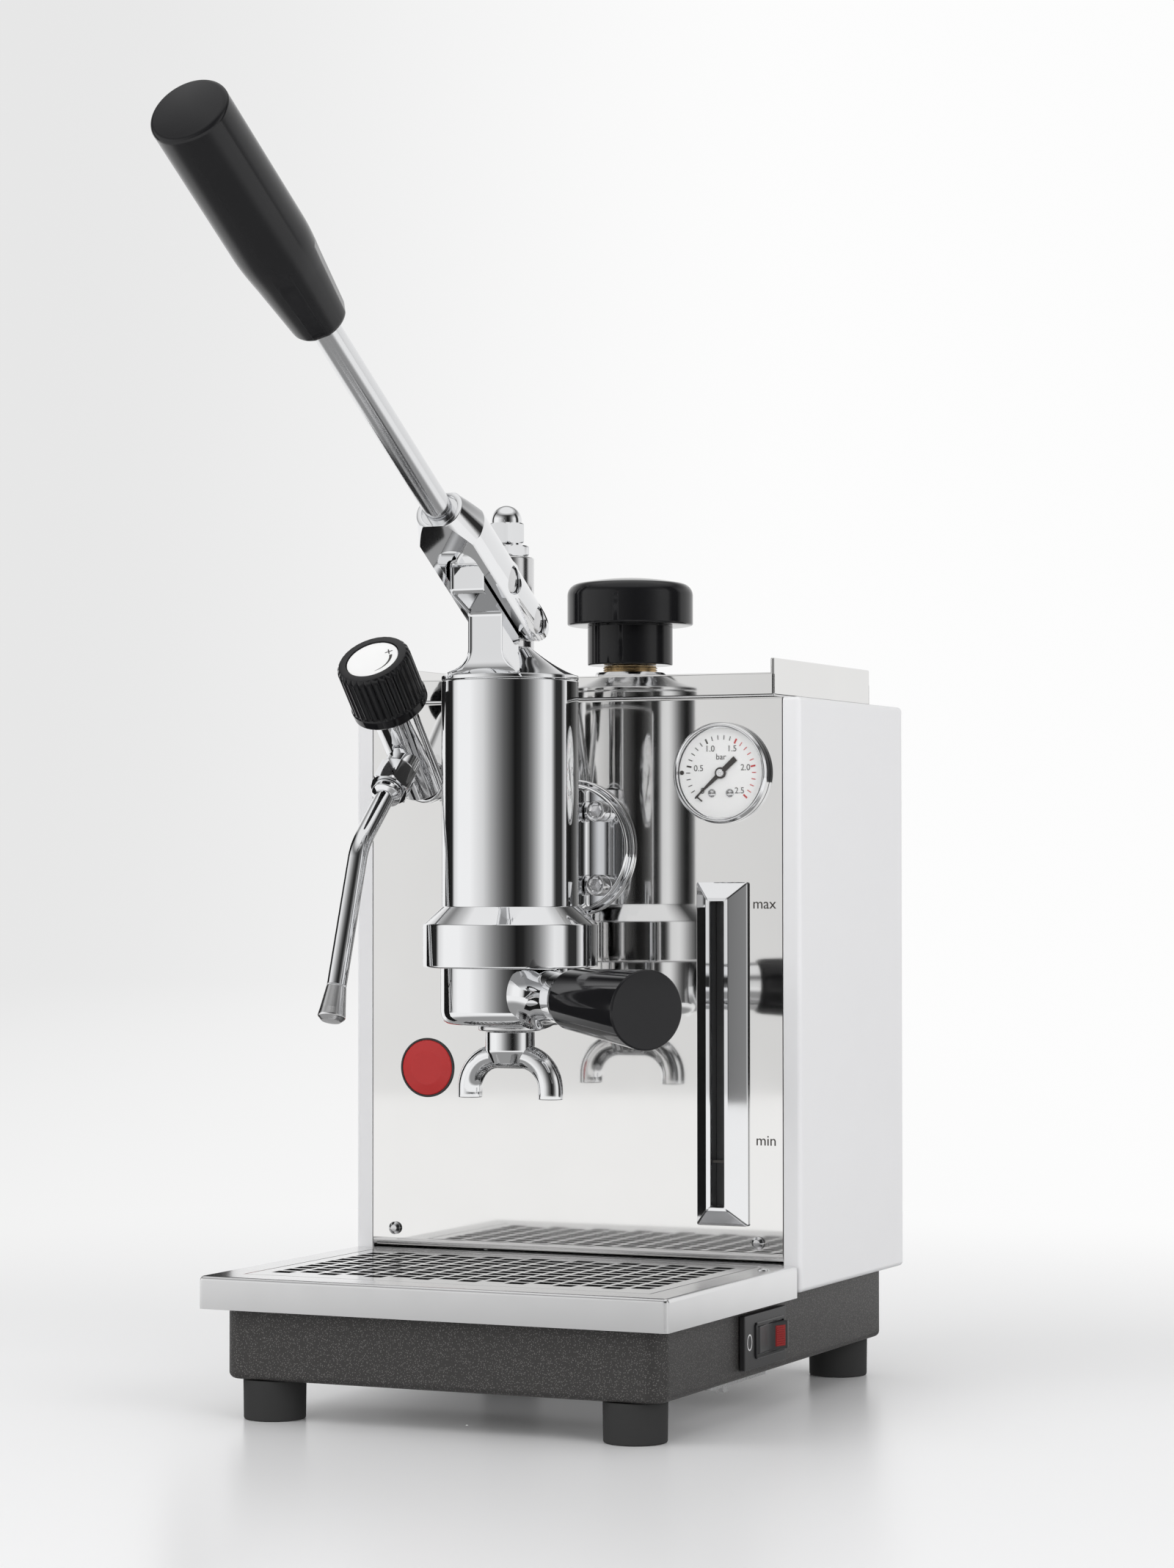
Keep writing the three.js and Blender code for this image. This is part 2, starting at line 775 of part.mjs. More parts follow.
function addRearPanel() {
  const plate = join(
    block([-panelHalf, panelHalf], [bodyDepth - sheet, bodyDepth], [bodyBottom, bodyTop]),
    block([-panelHalf, panelHalf], [bodyDepth - panelCap, bodyDepth], [bodyTop - sheet, bodyTop]));
  const half = inletBodyWidth / 2 + fitGap;
  const rise = inletBodyHeight / 2 + fitGap;
  const hole = block([inletX - half, inletX + half], [bodyDepth - sheet - cutRun, bodyDepth + cutRun],
    [inletZ - rise, inletZ + rise]);
  add('rear_panel', cut(plate, hole), whitePaint);
}

// Drip tray: cover with skirts, perforated grille and basin
function addTrayCover() {
  const half = trayHalf;
  const outline = roundedBox(-half, half, -trayReach, -trayBackGap, trayCorner);
  const inner = roundedBox(-half + sheet, half - sheet, -trayReach + sheet, -trayBackGap - sheet,
    trayCorner - sheet);
  const shell = pulledUp(outline, trayTop - traySkirt, trayTop)
    .subtract(pulledUp(inner, trayTop - traySkirt - cutRun, trayTop - sheet))
    .subtract(block([-half + sheet, half - sheet], [-trayBackGap - sheet - fitGap, cutRun],
      [trayTop - traySkirt - cutRun, trayTop - sheet]));
  const rimTop = trayTop - sheet / 2;
  const rimBottom = trayTop - grilleSheet - fitGap - sheet;
  const rim = block([-grilleHalf - sheet, grilleHalf + sheet], [grilleFront - sheet, grilleBack + sheet],
    [rimBottom, rimTop]);
  const mouth = block([-grilleHalf, grilleHalf], [grilleFront, grilleBack],
    [trayTop - grilleSheet - fitGap, trayTop + cutRun]);
  const window = block([-grilleHalf + grilleLedge, grilleHalf - grilleLedge],
    [grilleFront + grilleLedge, grilleBack - grilleLedge], [rimBottom - cutRun, trayTop]);
  const screw = turned([[0, trayTop - sheet / 2], [coverScrewRadius, trayTop - sheet / 2],
    [coverScrewRadius, trayTop + coverScrewRise / 2], [coverScrewRadius / 2, trayTop + coverScrewRise],
    [0, trayTop + coverScrewRise]], smallSides, half - coverScrewInset, -coverScrewBack);
  add('tray_cover', join(cut(join(shell, rim), mouth, window), screw), steel);
}

function addGrille() {
  const x1 = grilleHalf - fitGap;
  const y0 = grilleFront + fitGap;
  const y1 = grilleBack - fitGap;
  const border = grilleLedge + slotBar;
  const columns = Math.floor((x1 * 2 - border * 2 + slotBar) / slotColumnPitch);
  const rows = Math.floor((y1 - y0 - border * 2 + slotBar) / slotRowPitch - staggerShare);
  const firstX = -(columns * slotColumnPitch - slotBar) / 2;
  const firstY = (y0 + y1) / 2 - ((rows + staggerShare) * slotRowPitch - slotBar) / 2;
  const holes = [];
  for (let i = 0; i < columns; i += 1) {
    for (let j = 0; j < rows; j += 1) {
      const x = firstX + i * slotColumnPitch;
      const y = firstY + (j + (i % 2) / 2) * slotRowPitch;
      holes.push(block([x, x + slotColumnPitch - slotBar], [y, y + slotRowPitch - slotBar],
        [trayTop - grilleSheet - cutRun, trayTop + cutRun]));
    }
  }
  add('drip_grille', cut(block([-x1, x1], [y0, y1], [trayTop - grilleSheet, trayTop]), ...holes), steel);
}

// The basin hangs by its rim on the base's walls, under the cover
function addBasin() {
  const half = baseHalf - baseWall - basinPlay;
  const y0 = baseFront + baseWall + basinPlay;
  const y1 = -trayBackGap - sheet - fitGap - basinRim;
  const bottom = basinTop - basinDepth;
  const corner = baseCorner - baseWall - basinPlay;
  const pan = pulledUp(roundedBox(-half, half, y0, y1, corner), bottom, basinTop);
  const rim = pulledUp(roundedBox(-half - basinRim, half + basinRim, y0 - basinRim, y1, corner + basinRim),
    basinTop - basinSheet, basinTop);
  const hollow = pulledUp(roundedBox(-half + basinSheet, half - basinSheet, y0 + basinSheet, y1 - basinSheet,
    corner - basinSheet * 2), bottom + basinSheet, basinTop + cutRun);
  add('drip_basin', cut(join(pan, rim), hollow), steel);
}

// Cup tray on top of the body
function addCupTray() {
  const y0 = cupTrayFront;
  const y1 = bodyDepth - cupTrayBackInset;
  const floor = block([-cupHalf, cupHalf], [y0, y1], [cupFloorBottom, cupFloorTop]);
  const upstand = (x0, x1) => block([x0, x1], [y0, y1], [cupFloorBottom, cupFloorBottom + cupTrayUpstand]);
  const railTop = cupFloorBottom + cupTrayRail;
  const rail = (ya, yb) => block([-cupHalf, cupHalf], [ya, yb], [cupFloorBottom, railTop]);
  const tray = join(floor,
    upstand(-cupHalf, -cupHalf + cupTrayHem), upstand(cupHalf - cupTrayHem, cupHalf),
    rail(y0, y0 + cupTrayHem), rail(y1 - cupTrayHem, y1));
  const fillerHole = post(fillerRadius + fitGap, cupFloorBottom - cutRun, cupFloorTop + cutRun,
    roundSides, 0, fillerY);
  const valveHole = post(valveStemRadius + fitGap, cupFloorBottom - cutRun, cupFloorTop + cutRun,
    roundSides, valveX, valveY);
  add('cup_tray', cut(tray, fillerHole, valveHole), steel);
}

// Boiler shell, open below where the element closes it, with the boss that the group bolts to
function addBoiler() {
  const [r, w] = [boilerRadius, boilerWall];
  const shoulder = boilerShoulder;
  const shell = turned([
    [r - w, boilerBottom], [r, boilerBottom], [r, boilerTop - shoulder],
    [r - shoulder * (1 - Math.SQRT1_2), boilerTop - shoulder * (1 - Math.SQRT1_2)],
    [r - shoulder, boilerTop], [0, boilerTop], [0, boilerTop - w], [r - shoulder, boilerTop - w],
    [r - w, boilerTop - shoulder], [r - w, boilerBottom],
  ], largeSides, boilerX, boilerY);
  const boss = barY(bossRadius, 0, boilerY, 0, groupFlangeZ, roundSides);
  const inside = post(r - w, boilerBottom + w, boilerTop - w - shoulder, largeSides, boilerX, boilerY);
  const waterway = barY(spigotRadius + fitGap, -cutRun, boilerY, 0, groupFlangeZ, smallSides);
  const fillerHole = post(fillerBore, boilerTop - w - cutRun, boilerTop + cutRun, smallSides, 0, fillerY);
  const valveHole = post(valveStemRadius - w, boilerTop - w - cutRun, boilerTop + cutRun,
    smallSides, valveX, valveY);
  const boltHoles = boltBores(-cutRun, boltReach + fitGap);
  add('boiler', cut(join(shell, cut(boss, inside)), waterway, fillerHole, valveHole, ...boltHoles), copper);
}

function addHeatingElement() {
  const top = boilerBottom - fitGap;
  const flange = post(boilerRadius, top - elementFlange, top, largeSides, boilerX, boilerY);
  const half = elementLoopWidth / 2;
  const corner = (x, z) => new THREE.Vector3(boilerX + x, boilerY, z);
  const loop = tube(bentPath([
    corner(-half, top - elementFlange / 2), corner(-half, top + elementLoopHeight),
    corner(half, top + elementLoopHeight), corner(half, top - elementFlange / 2),
  ], half / 2), elementRod, smallSides / 2, bendSteps * 4);
  const posts = [-half, half].map((x) => post(elementRod,
    top - elementFlange - elementPost, top - elementFlange / 2, smallSides / 2, boilerX + x, boilerY));
  add('heating_element', join(flange, loop, ...posts), steel);
}

function addFiller() {
  const z0 = boilerTop + fitGap;
  const hexTop = cupFloorTop + fillerRise - fillerNeckShow - fitGap;
  const z1 = hexTop + fillerNeckShow;
  const tubeWall = turned([[fillerBore, z0], [fillerRadius, z0], [fillerRadius, z1], [fillerBore, z1],
    [fillerBore, z0]], roundSides, 0, fillerY);
  const hex = pulledUp(hexagon(fillerHexAcross), hexTop - fillerHexHeight, hexTop);
  const raised = placed(hex, new THREE.Matrix4().makeTranslation(0, fillerY, 0));
  const bore = post(fillerBore, z0 - cutRun, z1 + cutRun, roundSides, 0, fillerY);
  add('filler_neck', cut(join(tubeWall, raised), bore), brass);
}

// The cap is a stem with a mushroom head, hollow below where it goes over the neck's mouth
function addBoilerCap() {
  const z0 = cupFloorTop + fillerRise;
  const z1 = z0 + capStemHeight;
  const z2 = z1 + capHeadHeight;
  const cap = turned([
    [0, z0], [capStemRadius, z0], [capStemRadius, z1], [capHeadRadius - capEdge, z1],
    [capHeadRadius, z1 + capEdge], [capHeadRadius, z2 - capEdge],
    [capHeadRadius - capEdge * roundShare, z2 - capEdge * roundShare], [capHeadRadius - capEdge, z2],
    [capHeadRadius / 2, z2 + capCrown * capCrownShare], [0, z2 + capCrown],
  ], largeSides, 0, fillerY);
  add('boiler_cap', cap, blackGloss);
}

function addSafetyValve() {
  const z0 = boilerTop + fitGap;
  const z1 = cupFloorTop + fitGap;
  const z2 = z1 + valveBodyHeight;
  const r = valveBodyRadius;
  const body = turned([
    [0, z0], [valveStemRadius, z0], [valveStemRadius, z1], [r - nutRelief, z1], [r, z1 + nutRelief],
    [r, z2 - nutRelief], [r - nutRelief, z2], [0, z2],
  ], roundSides, valveX, valveY);
  add('safety_valve_body', body, steel);
  const z3 = z2 + fitGap;
  const hex = (radius, a, b) => placed(pulledUp(hexagon(radius * Math.sqrt(3)), a, b),
    new THREE.Matrix4().makeTranslation(valveX, valveY, 0));
  const waist = post(valveDomeRadius, z3 + valveNutHeight / 2, z3 + valveNutHeight + nutRelief * 2,
    roundSides, valveX, valveY);
  const z4 = z3 + valveNutHeight + nutRelief;
  const z5 = z4 + valveHexHeight;
  const dome = turned([
    [0, z5 - nutRelief], [valveDomeRadius, z5 - nutRelief], [valveDomeRadius, z5 + nutRelief],
    ...domeShares.map((share) => [
      valveDomeRadius * Math.cos(share * Math.PI / 2),
      z5 + nutRelief + valveDomeRadius * Math.sin(share * Math.PI / 2)]),
    [0, z5 + nutRelief + valveDomeRadius],
  ], roundSides, valveX, valveY);
  add('safety_valve_nuts', join(hex(valveNutRadius, z3, z3 + valveNutHeight), waist,
    hex(valveHexRadius, z4, z5), dome), chrome);
}

// Group
function boltPlaces() {
  return [[-1, -1], [1, -1], [-1, 1], [1, 1]]
    .map(([sx, sz]) => [sx * boltSpread, groupFlangeZ + sz * boltSpread]);
}

function boltBores(y0, y1) {
  return boltPlaces().map(([x, z]) => barY(boltShankRadius + fitGap, y0, y1, x, z, smallSides));
}

function addFlangeRing() {
  const y1 = -fitGap;
  const y0 = y1 - ringThick;
  const ring = barY(ringRadius, y0, y1, 0, groupFlangeZ, largeSides);
  const bore = barY(spigotRadius + fitGap, y0 - cutRun, y1 + cutRun, 0, groupFlangeZ, smallSides);
  const holes = boltBores(y0 - cutRun, y1 + cutRun);
  add('flange_ring', cut(ring, bore, ...holes), chrome);
}

function flangeFace() {
  return -fitGap * 2 - ringThick - flangeThick;
}

function addGroupBody() {
  const flangeBack = -fitGap * 2 - ringThick;
  const face = flangeFace();
  const flange = barY(flangeRadius, face, flangeBack, 0, groupFlangeZ, largeSides);
  const spigot = barY(spigotRadius, face, spigotLength, 0, groupFlangeZ, smallSides);
  const round = barY(flangeRadius, -groupReach, flangeBack, 0, groupFlangeZ, largeSides);
  const slab = block([-neckWidth / 2, neckWidth / 2], [-groupReach, face + flangeThick / 2],
    [groupFlangeZ - flangeRadius - cutRun, groupFlangeZ + flangeRadius + cutRun]);
  const neck = round.intersect(slab);
  const shell = turned([
    [0, collarBottom], [collarRadius - collarChamfer, collarBottom],
    [collarRadius, collarBottom + collarChamfer],
    [collarRadius, collarTop - collarChamfer], [collarRadius - collarChamfer, collarTop],
    [cylinderRadius, coneTop], [cylinderRadius, cylinderTop], [0, cylinderTop],
  ], largeSides, 0, -groupReach);
  const grooveRadius = filterRadius + lugReach + lugPlay;
  const bore = turned([
    [0, collarBottom - cutRun], [filterRadius + lugPlay, collarBottom - cutRun],
    [filterRadius + lugPlay, grooveBottom], [grooveRadius, grooveBottom], [grooveRadius, grooveTop],
    [gasketOuter, grooveTop], [gasketOuter, gasketTop], [cylinderBore, gasketTop],
    [cylinderBore, cylinderTop + cutRun], [0, cylinderTop + cutRun],
  ], largeSides, 0, -groupReach);
  const notchSpan = rad(lugSpanDeg + notchSpareDeg);
  const notchMiddle = rad(filterAngleDeg - filterTurnDeg);
  const notches = [0, Math.PI].map((half) => sector(grooveRadius, notchMiddle + half, notchSpan,
    collarBottom - cutRun, grooveBottom + lugPlay));
  const boltHoles = boltBores(face - cutRun, cutRun);
  const waterway = barY(inletRadius, -groupReach, spigotLength + cutRun, 0, groupFlangeZ, smallSides);
  add('group_body', cut(join(flange, spigot, neck, shell), bore, ...notches, ...boltHoles, waterway), chrome);
}

// A pie slice about the group's axis, from z0 to z1
function sector(radius, middle, span, z0, z1) {
  const shape = new THREE.Shape();
  shape.moveTo(0, 0);
  for (let i = 0; i <= cornerSteps * 2; i += 1) {
    const angle = middle - span / 2 + span * i / (cornerSteps * 2);
    shape.lineTo(radius * Math.cos(angle), radius * Math.sin(angle));
  }
  return placed(pulledUp(shape, z0, z1), new THREE.Matrix4().makeTranslation(0, -groupReach, 0));
}

function addFlangeBolts() {
  const face = flangeFace() - fitGap;
  boltPlaces().forEach(([x, z], i) => {
    const head = barY(boltHeadRadius, face - boltHeadHeight, face, x, z, smallSides);
    const shank = barY(boltShankRadius, face - boltHeadHeight / 2, boltReach, x, z, smallSides);
    const key = pulledUp(hexagon(boltSocketRadius * Math.sqrt(3)), 0, boltSocketDepth + cutRun);
    const aim = new THREE.Matrix4().makeTranslation(x, face - boltHeadHeight + boltSocketDepth, z)
      .multiply(new THREE.Matrix4().makeRotationX(Math.PI / 2));
    const socket = placed(key, aim);
    add(`flange_bolt_${i + 1}`, cut(join(head, shank), socket), steel);
  });
}

function addGasketAndScreen() {
  const top = gasketTop - fitGap;
  const gasket = turned([
    [gasketInner, grooveTop], [gasketOuter - fitGap, grooveTop], [gasketOuter - fitGap, top],
    [gasketInner, top], [gasketInner, grooveTop],
  ], largeSides, 0, -groupReach);
  add('group_gasket', gasket, blackRubber);
  add('shower_screen', post(screenRadius, top - screenThick, top, largeSides, 0, -groupReach), steel);
}

// The bonnet closes the cylinder. Its forward arm carries the lever's pivot.
function addBonnet() {
  const cone = turned([
    [0, bonnetBase - bonnetSpigot], [cylinderBore - fitGap, bonnetBase - bonnetSpigot],
    [cylinderBore - fitGap, bonnetBase], [cylinderRadius, bonnetBase],
    [cylinderRadius, bonnetBase + bonnetEdge],
    [bonnetTopRadius, bonnetTop], [0, bonnetTop],
  ], largeSides, 0, -groupReach);
  const y = (reach) => -groupReach - reach;
  const arm = new THREE.Shape();
  arm.moveTo(y(armBack), bonnetBase + bonnetEdge);
  arm.lineTo(y(armFront), bonnetBase + bonnetEdge);
  arm.lineTo(y(armFront), armKneeZ);
  arm.lineTo(y(armFace), armChinZ);
  arm.lineTo(y(armFace), pivotZ + armCrown / 2);
  arm.absarc(pivotY, pivotZ, armCrown, rad(armCrownBackDeg), rad(armCrownFrontDeg), true);
  arm.lineTo(y(armBack), pivotZ + armCrown / 2);
  const armBody = pulledAcross(arm, -armWidth / 2, armWidth / 2);
  const rodBore = post(rodRadius + fitGap, bonnetBase - cutRun * 2, pivotZ, smallSides, 0, -groupReach);
  const pinBore = barX(pinRadius + pinRunning, -armWidth, armWidth, pivotY, pivotZ, smallSides);
  add('group_bonnet', cut(join(cone, armBody), rodBore, pinBore), chrome);
}

function addPiston() {
  const r = cylinderBore - pistonClear;
  const groove = (z) => [
    [r, z], [r - pistonGroove, z], [r - pistonGroove, z + pistonGrooveWidth], [r, z + pistonGrooveWidth]];
  const piston = turned([
    [0, pistonBottom], [r, pistonBottom],
    ...groove((pistonBottom + pistonTop - pistonGrooveWidth) / 2),
    [r, pistonTop], [rodRadius + fitGap, pistonTop], [rodRadius + fitGap, pistonTop - rodSeat],
    [0, pistonTop - rodSeat],
  ], largeSides, 0, -groupReach);
  add('piston', piston, brass);
}

// The rod ends in an eye with a level slot, in which the rear pin of the lever's fork shifts
function addPistonRod() {
  const y = -groupReach + slotCentre;
  const shaft = post(rodRadius, pistonTop - rodSeat + fitGap, rodPinZ, smallSides, 0, -groupReach);
  const eye = roundedBox(y - eyeReach, y + eyeReach, rodPinZ - eyeRise, rodPinZ + eyeRise, eyeWall);
  const lug = pulledAcross(eye, -armWidth / 2, armWidth / 2);
  const slot = roundedBox(y - slotReach, y + slotReach, rodPinZ - slotRise, rodPinZ + slotRise, pinRadius);
  const slotCut = pulledAcross(slot, -armWidth, armWidth);
  add('piston_rod', cut(join(shaft, lug), slotCut), steel);
}

function addSpring() {
  const z0 = pistonTop + fitGap + springWire;
  const z1 = bonnetBase - bonnetSpigot - fitGap - springWire;
  class Helix extends THREE.Curve {
    getPoint(t, target = new THREE.Vector3()) {
      const angle = t * springTurns * 2 * Math.PI;
      return target.set(springRadius * Math.cos(angle), -groupReach + springRadius * Math.sin(angle),
        z0 + (z1 - z0) * t);
    }
  }
  const coil = tube(new Helix(), springWire, springWireSides, springTurns * springStepsPerTurn);
  const room = post(cylinderBore - pistonClear, pistonTop + fitGap, bonnetBase - bonnetSpigot - fitGap,
    roundSides, 0, -groupReach);
  add('group_spring', coil.intersect(room), steel);
}

// Lever, in a frame whose -Y runs along it from the pivot to the handle
function addLever() {
  const lever = new THREE.Group();
  lever.position.set(0, pivotY, pivotZ);
  lever.rotation.x = -rad(leverAngleDeg);
  machine.add(lever);
  const rodPinY = pinSpacing;
  const half = armWidth / 2 + forkSideGap;

  const backEnd = rodPinY + forkHeel;
  const bar = turned([
    [0, -backEnd], [forkRadius, -backEnd], [forkRadius, forkLength - forkCone],
    [forkTopRadius, forkLength], [forkSeatRadius, forkLength], [forkSeatRadius, forkLength - forkSeatDepth],
    [0, forkLength - forkSeatDepth],
  ], largeSides);
  const upright = new THREE.Matrix4().makeRotationX(Math.PI / 2);
  const sideView = new THREE.Shape();
  sideView.moveTo(-forkLength - cutRun, -forkThick / 2);
  sideView.lineTo(rodPinY, -forkThick / 2);
  sideView.absarc(rodPinY, 0, forkHeel, -Math.PI / 2, Math.PI / 2);
  sideView.lineTo(-forkLength - cutRun, forkThick / 2);
  const flats = pulledAcross(sideView, -forkRadius - cutRun, forkRadius + cutRun);
  const slot = new THREE.Shape();
  slot.moveTo(-half, backEnd + cutRun);
  slot.lineTo(-half, half - forkSlotReach);
  slot.absarc(0, half - forkSlotReach, half, Math.PI, Math.PI * 2);
  slot.lineTo(half, backEnd + cutRun);
  const slotCut = pulledUp(slot, -forkThick, forkThick);
  const past = forkRadius + cutRun;
  const pinHole = (y) => barX(pinRadius + pinRunning, -past, past, y, 0, smallSides);
  const pocketFloor = forkRadius - pinPocketDepth;
  const pocket = (y, side) => barX(pinPocketRadius,
    ...(side > 0 ? [pocketFloor, past] : [-past, -pocketFloor]), y, 0, roundSides);
  const rodHole = barY(leverRodRadius + fitGap, -forkLength - cutRun, -forkLength + leverRodSeat,
    0, 0, roundSides);
  const fork = cut(placed(bar, upright).intersect(flats), slotCut, rodHole,
    pinHole(0), pinHole(rodPinY), pocket(0, 1), pocket(0, -1), pocket(rodPinY, 1), pocket(rodPinY, -1));
  add('lever_fork', fork, chrome, lever);

  const seat = forkRadius - pinPocketDepth + fitGap;
  const head = (y, side) => barX(pinHeadRadius, ...(side > 0
    ? [seat, seat + pinHeadHeight] : [-seat - pinHeadHeight, -seat]), y, 0, roundSides);
  const pin = (y) => join(barX(pinRadius, -seat, seat, y, 0, smallSides), head(y, 1), head(y, -1));
  add('pivot_pin', pin(0), steel, lever);
  add('rod_pin', pin(rodPinY), steel, lever);

  const rod = barY(leverRodRadius, -handleStart - leverRodSeat, -forkLength + leverRodSeat - fitGap,
    0, 0, roundSides);
  add('lever_rod', rod, chrome, lever);
  addLeverHandle(lever);
}

// The black handle, turned about the lever's axis: s runs from its lower end to its crowned top
function addLeverHandle(lever) {
  const neck = handleNeckRadius;
  const r = handleRadius;
  const rise = r - handleTaperRadius;
  const [swellAlong, swellOut] = handleSwellShares;
  const [edgeIn, topIn, topDrop] = handleCrownShares;
  const profile = [
    [0, 0], [neck - handleRound, 0],
    [neck - handleRound * roundShare, handleRound * roundShare], [neck, handleRound],
    [handleTaperRadius, handleTaper],
    [handleTaperRadius + rise * swellOut, handleTaper + handleSwell * swellAlong],
    [r, handleTaper + handleSwell], [r, handleLength - handleCrown * 2],
    [r - handleCrown * edgeIn, handleLength - handleCrown],
    [r - handleCrown * topIn, handleLength - handleCrown * topDrop],
    [0, handleLength],
  ];
  const grip = turned(profile, largeSides);
  const bore = post(leverRodRadius + fitGap, -cutRun, leverRodSeat + fitGap, roundSides);
  const along = new THREE.Matrix4().makeTranslation(0, -handleStart, 0)
    .multiply(new THREE.Matrix4().makeRotationX(Math.PI / 2));
  add('lever_handle', placed(cut(grip, bore), along), blackGloss, lever);
}

// Portafilter, in a frame about the group's axis whose -Y points along the grip
function addPortafilter() {
  const filter = new THREE.Group();
  filter.position.set(0, -groupReach, 0);
  filter.rotation.z = rad(filterAngleDeg);
  machine.add(filter);

  const r = filterRadius;
  const bowl = turned([
    [0, filterBottom], [r - filterRound, filterBottom],
    [r - filterRound * roundShare, filterBottom + filterRound * roundShare], [r, filterBottom + filterRound],
    [r, filterTop], [0, filterTop],
  ], largeSides);
  const floorZ = filterBottom + filterFloor;
  const inner = r - filterWall;
  const hollow = turned([
    [0, floorZ], [inner, floorZ], [inner, filterTop - basketRimHeight - fitGap],
    [inner + basketRim, filterTop - basketRimHeight - fitGap], [inner + basketRim, filterTop + cutRun],
    [0, filterTop + cutRun],
  ], largeSides);
  const lugs = [0, Math.PI].map((half) => lugSolid(half));
  const neckLength = filterNeckReach - inner;
  const neck = turned([
    [0, 0], [filterNeckRoot, 0], [filterNeckEnd, neckLength], [0, neckLength],
  ], roundSides);
  const tenon = post(gripTenon, -gripTenonLength, gripTenonLength, smallSides);
  const outlet = post(outletRadius, filterBottom - cutRun, floorZ + cutRun, roundSides);
  const arm = join(placed(neck, gripAim(inner)), placed(tenon, gripAim(filterNeckReach)));
  add('portafilter_body', cut(join(bowl, ...lugs, arm), hollow, outlet), chrome, filter);

  const basketOuter = inner - fitGap;
  const rimBottom = filterTop - basketRimHeight;
  const basket = turned([
    [0, filterTop - basketDepth], [basketOuter, filterTop - basketDepth], [basketOuter, rimBottom],
    [inner + basketRim - fitGap, rimBottom], [inner + basketRim - fitGap, filterTop],
    [basketOuter - basketWall, filterTop], [basketOuter - basketWall, filterTop - basketDepth + basketWall],
    [0, filterTop - basketDepth + basketWall],
  ], largeSides);
  add('filter_basket', basket, steel, filter);
  addPortafilterGrip(filter);
  addSpout(filter);
}

function lugSolid(half) {
  const shape = new THREE.Shape();
  const steps = cornerSteps * 2;
  const span = rad(lugSpanDeg);
  const at = (radius, i) => {
    const angle = half - span / 2 + span * i / steps;
    return [radius * Math.cos(angle), radius * Math.sin(angle)];
  };
  shape.moveTo(...at(filterRadius - filterWall / 2, 0));
  for (let i = 0; i <= steps; i += 1) shape.lineTo(...at(filterRadius + lugReach, i));
  shape.lineTo(...at(filterRadius - filterWall / 2, steps));
  return pulledUp(shape, grooveBottom + lugPlay, grooveBottom + lugPlay + lugHeight);
}

// Aims a solid's +Z along the grip, which dips a little, from a given reach off the group's axis
function gripAim(reach) {
  return new THREE.Matrix4().makeTranslation(0, 0, handleZ)
    .multiply(new THREE.Matrix4().makeRotationX(rad(filterTiltDeg)))
    .multiply(new THREE.Matrix4().makeTranslation(0, -reach, 0))
    .multiply(new THREE.Matrix4().makeRotationX(Math.PI / 2));
}

function addPortafilterGrip(filter) {
  const length = filterGripReach - filterNeckReach - fitGap;
  const [a, b] = [filterGripStart, filterGripEnd];
  const [sideIn, sideUp, fullUp] = gripRoundShares;
  const grip = turned([
    [0, 0], [a - filterGripRound, 0],
    [a - filterGripRound * sideIn, filterGripRound * sideUp], [a, filterGripRound * fullUp],
    [b, length - filterGripEdge], [b - filterGripEdge, length], [0, length],
  ], largeSides);
  const bore = post(gripTenon + fitGap, -cutRun, gripTenonLength + fitGap, smallSides);
  const handle = placed(cut(grip, bore), gripAim(filterNeckReach + fitGap));
  add('portafilter_handle', handle, blackGloss, filter);
}

function addSpout(filter) {
  const washerTop = filterBottom - fitGap;
  const washerBottom = washerTop - washerThick;
  const tenon = outletRadius - fitGap;
  const washer = turned([
    [outletRadius, washerBottom], [washerRadius, washerBottom], [washerRadius, washerTop],
    [outletRadius, washerTop], [outletRadius, washerBottom],
  ], roundSides);
  add('spout_washer', washer, steel, filter);

  const top = washerBottom - fitGap;
  const neck = post(spoutNeckRadius, top - spoutNeckHeight, top, roundSides);
  const plug = post(tenon, top - spoutNeckHeight / 2, filterBottom + filterFloor / 2, smallSides);
  const half = spoutSpread / 2;
  const corner = (x, drop) => new THREE.Vector3(x, 0, top - drop);
  const arch = tube(bentPath([
    corner(-half, spoutMouthDrop), corner(-half, spoutArchDrop),
    corner(half, spoutArchDrop), corner(half, spoutMouthDrop),
  ], spoutBend), spoutArmRadius, smallSides, bendSteps * 5);
  const bores = [-half, half].map((x) => post(spoutMouthBore, top - spoutMouthDrop - cutRun,
    top - spoutMouthDrop + spoutMouthDepth, smallSides, x));
  const turn = new THREE.Matrix4().makeRotationZ(rad(spoutAngleDeg));
  add('spout', placed(cut(join(neck, plug, arch), ...bores), turn), chrome, filter);
}

// Steam valve, in a frame whose +Z runs up its stem and whose -Y runs out along the wand
function steamFrame() {
  return new THREE.Matrix4().makeTranslation(-sideColumnX, 0, steamZ)
    .multiply(new THREE.Matrix4().makeRotationX(steamTilt));
}

function steamShankZ() {
  return steamZ + steamRingRise;
}

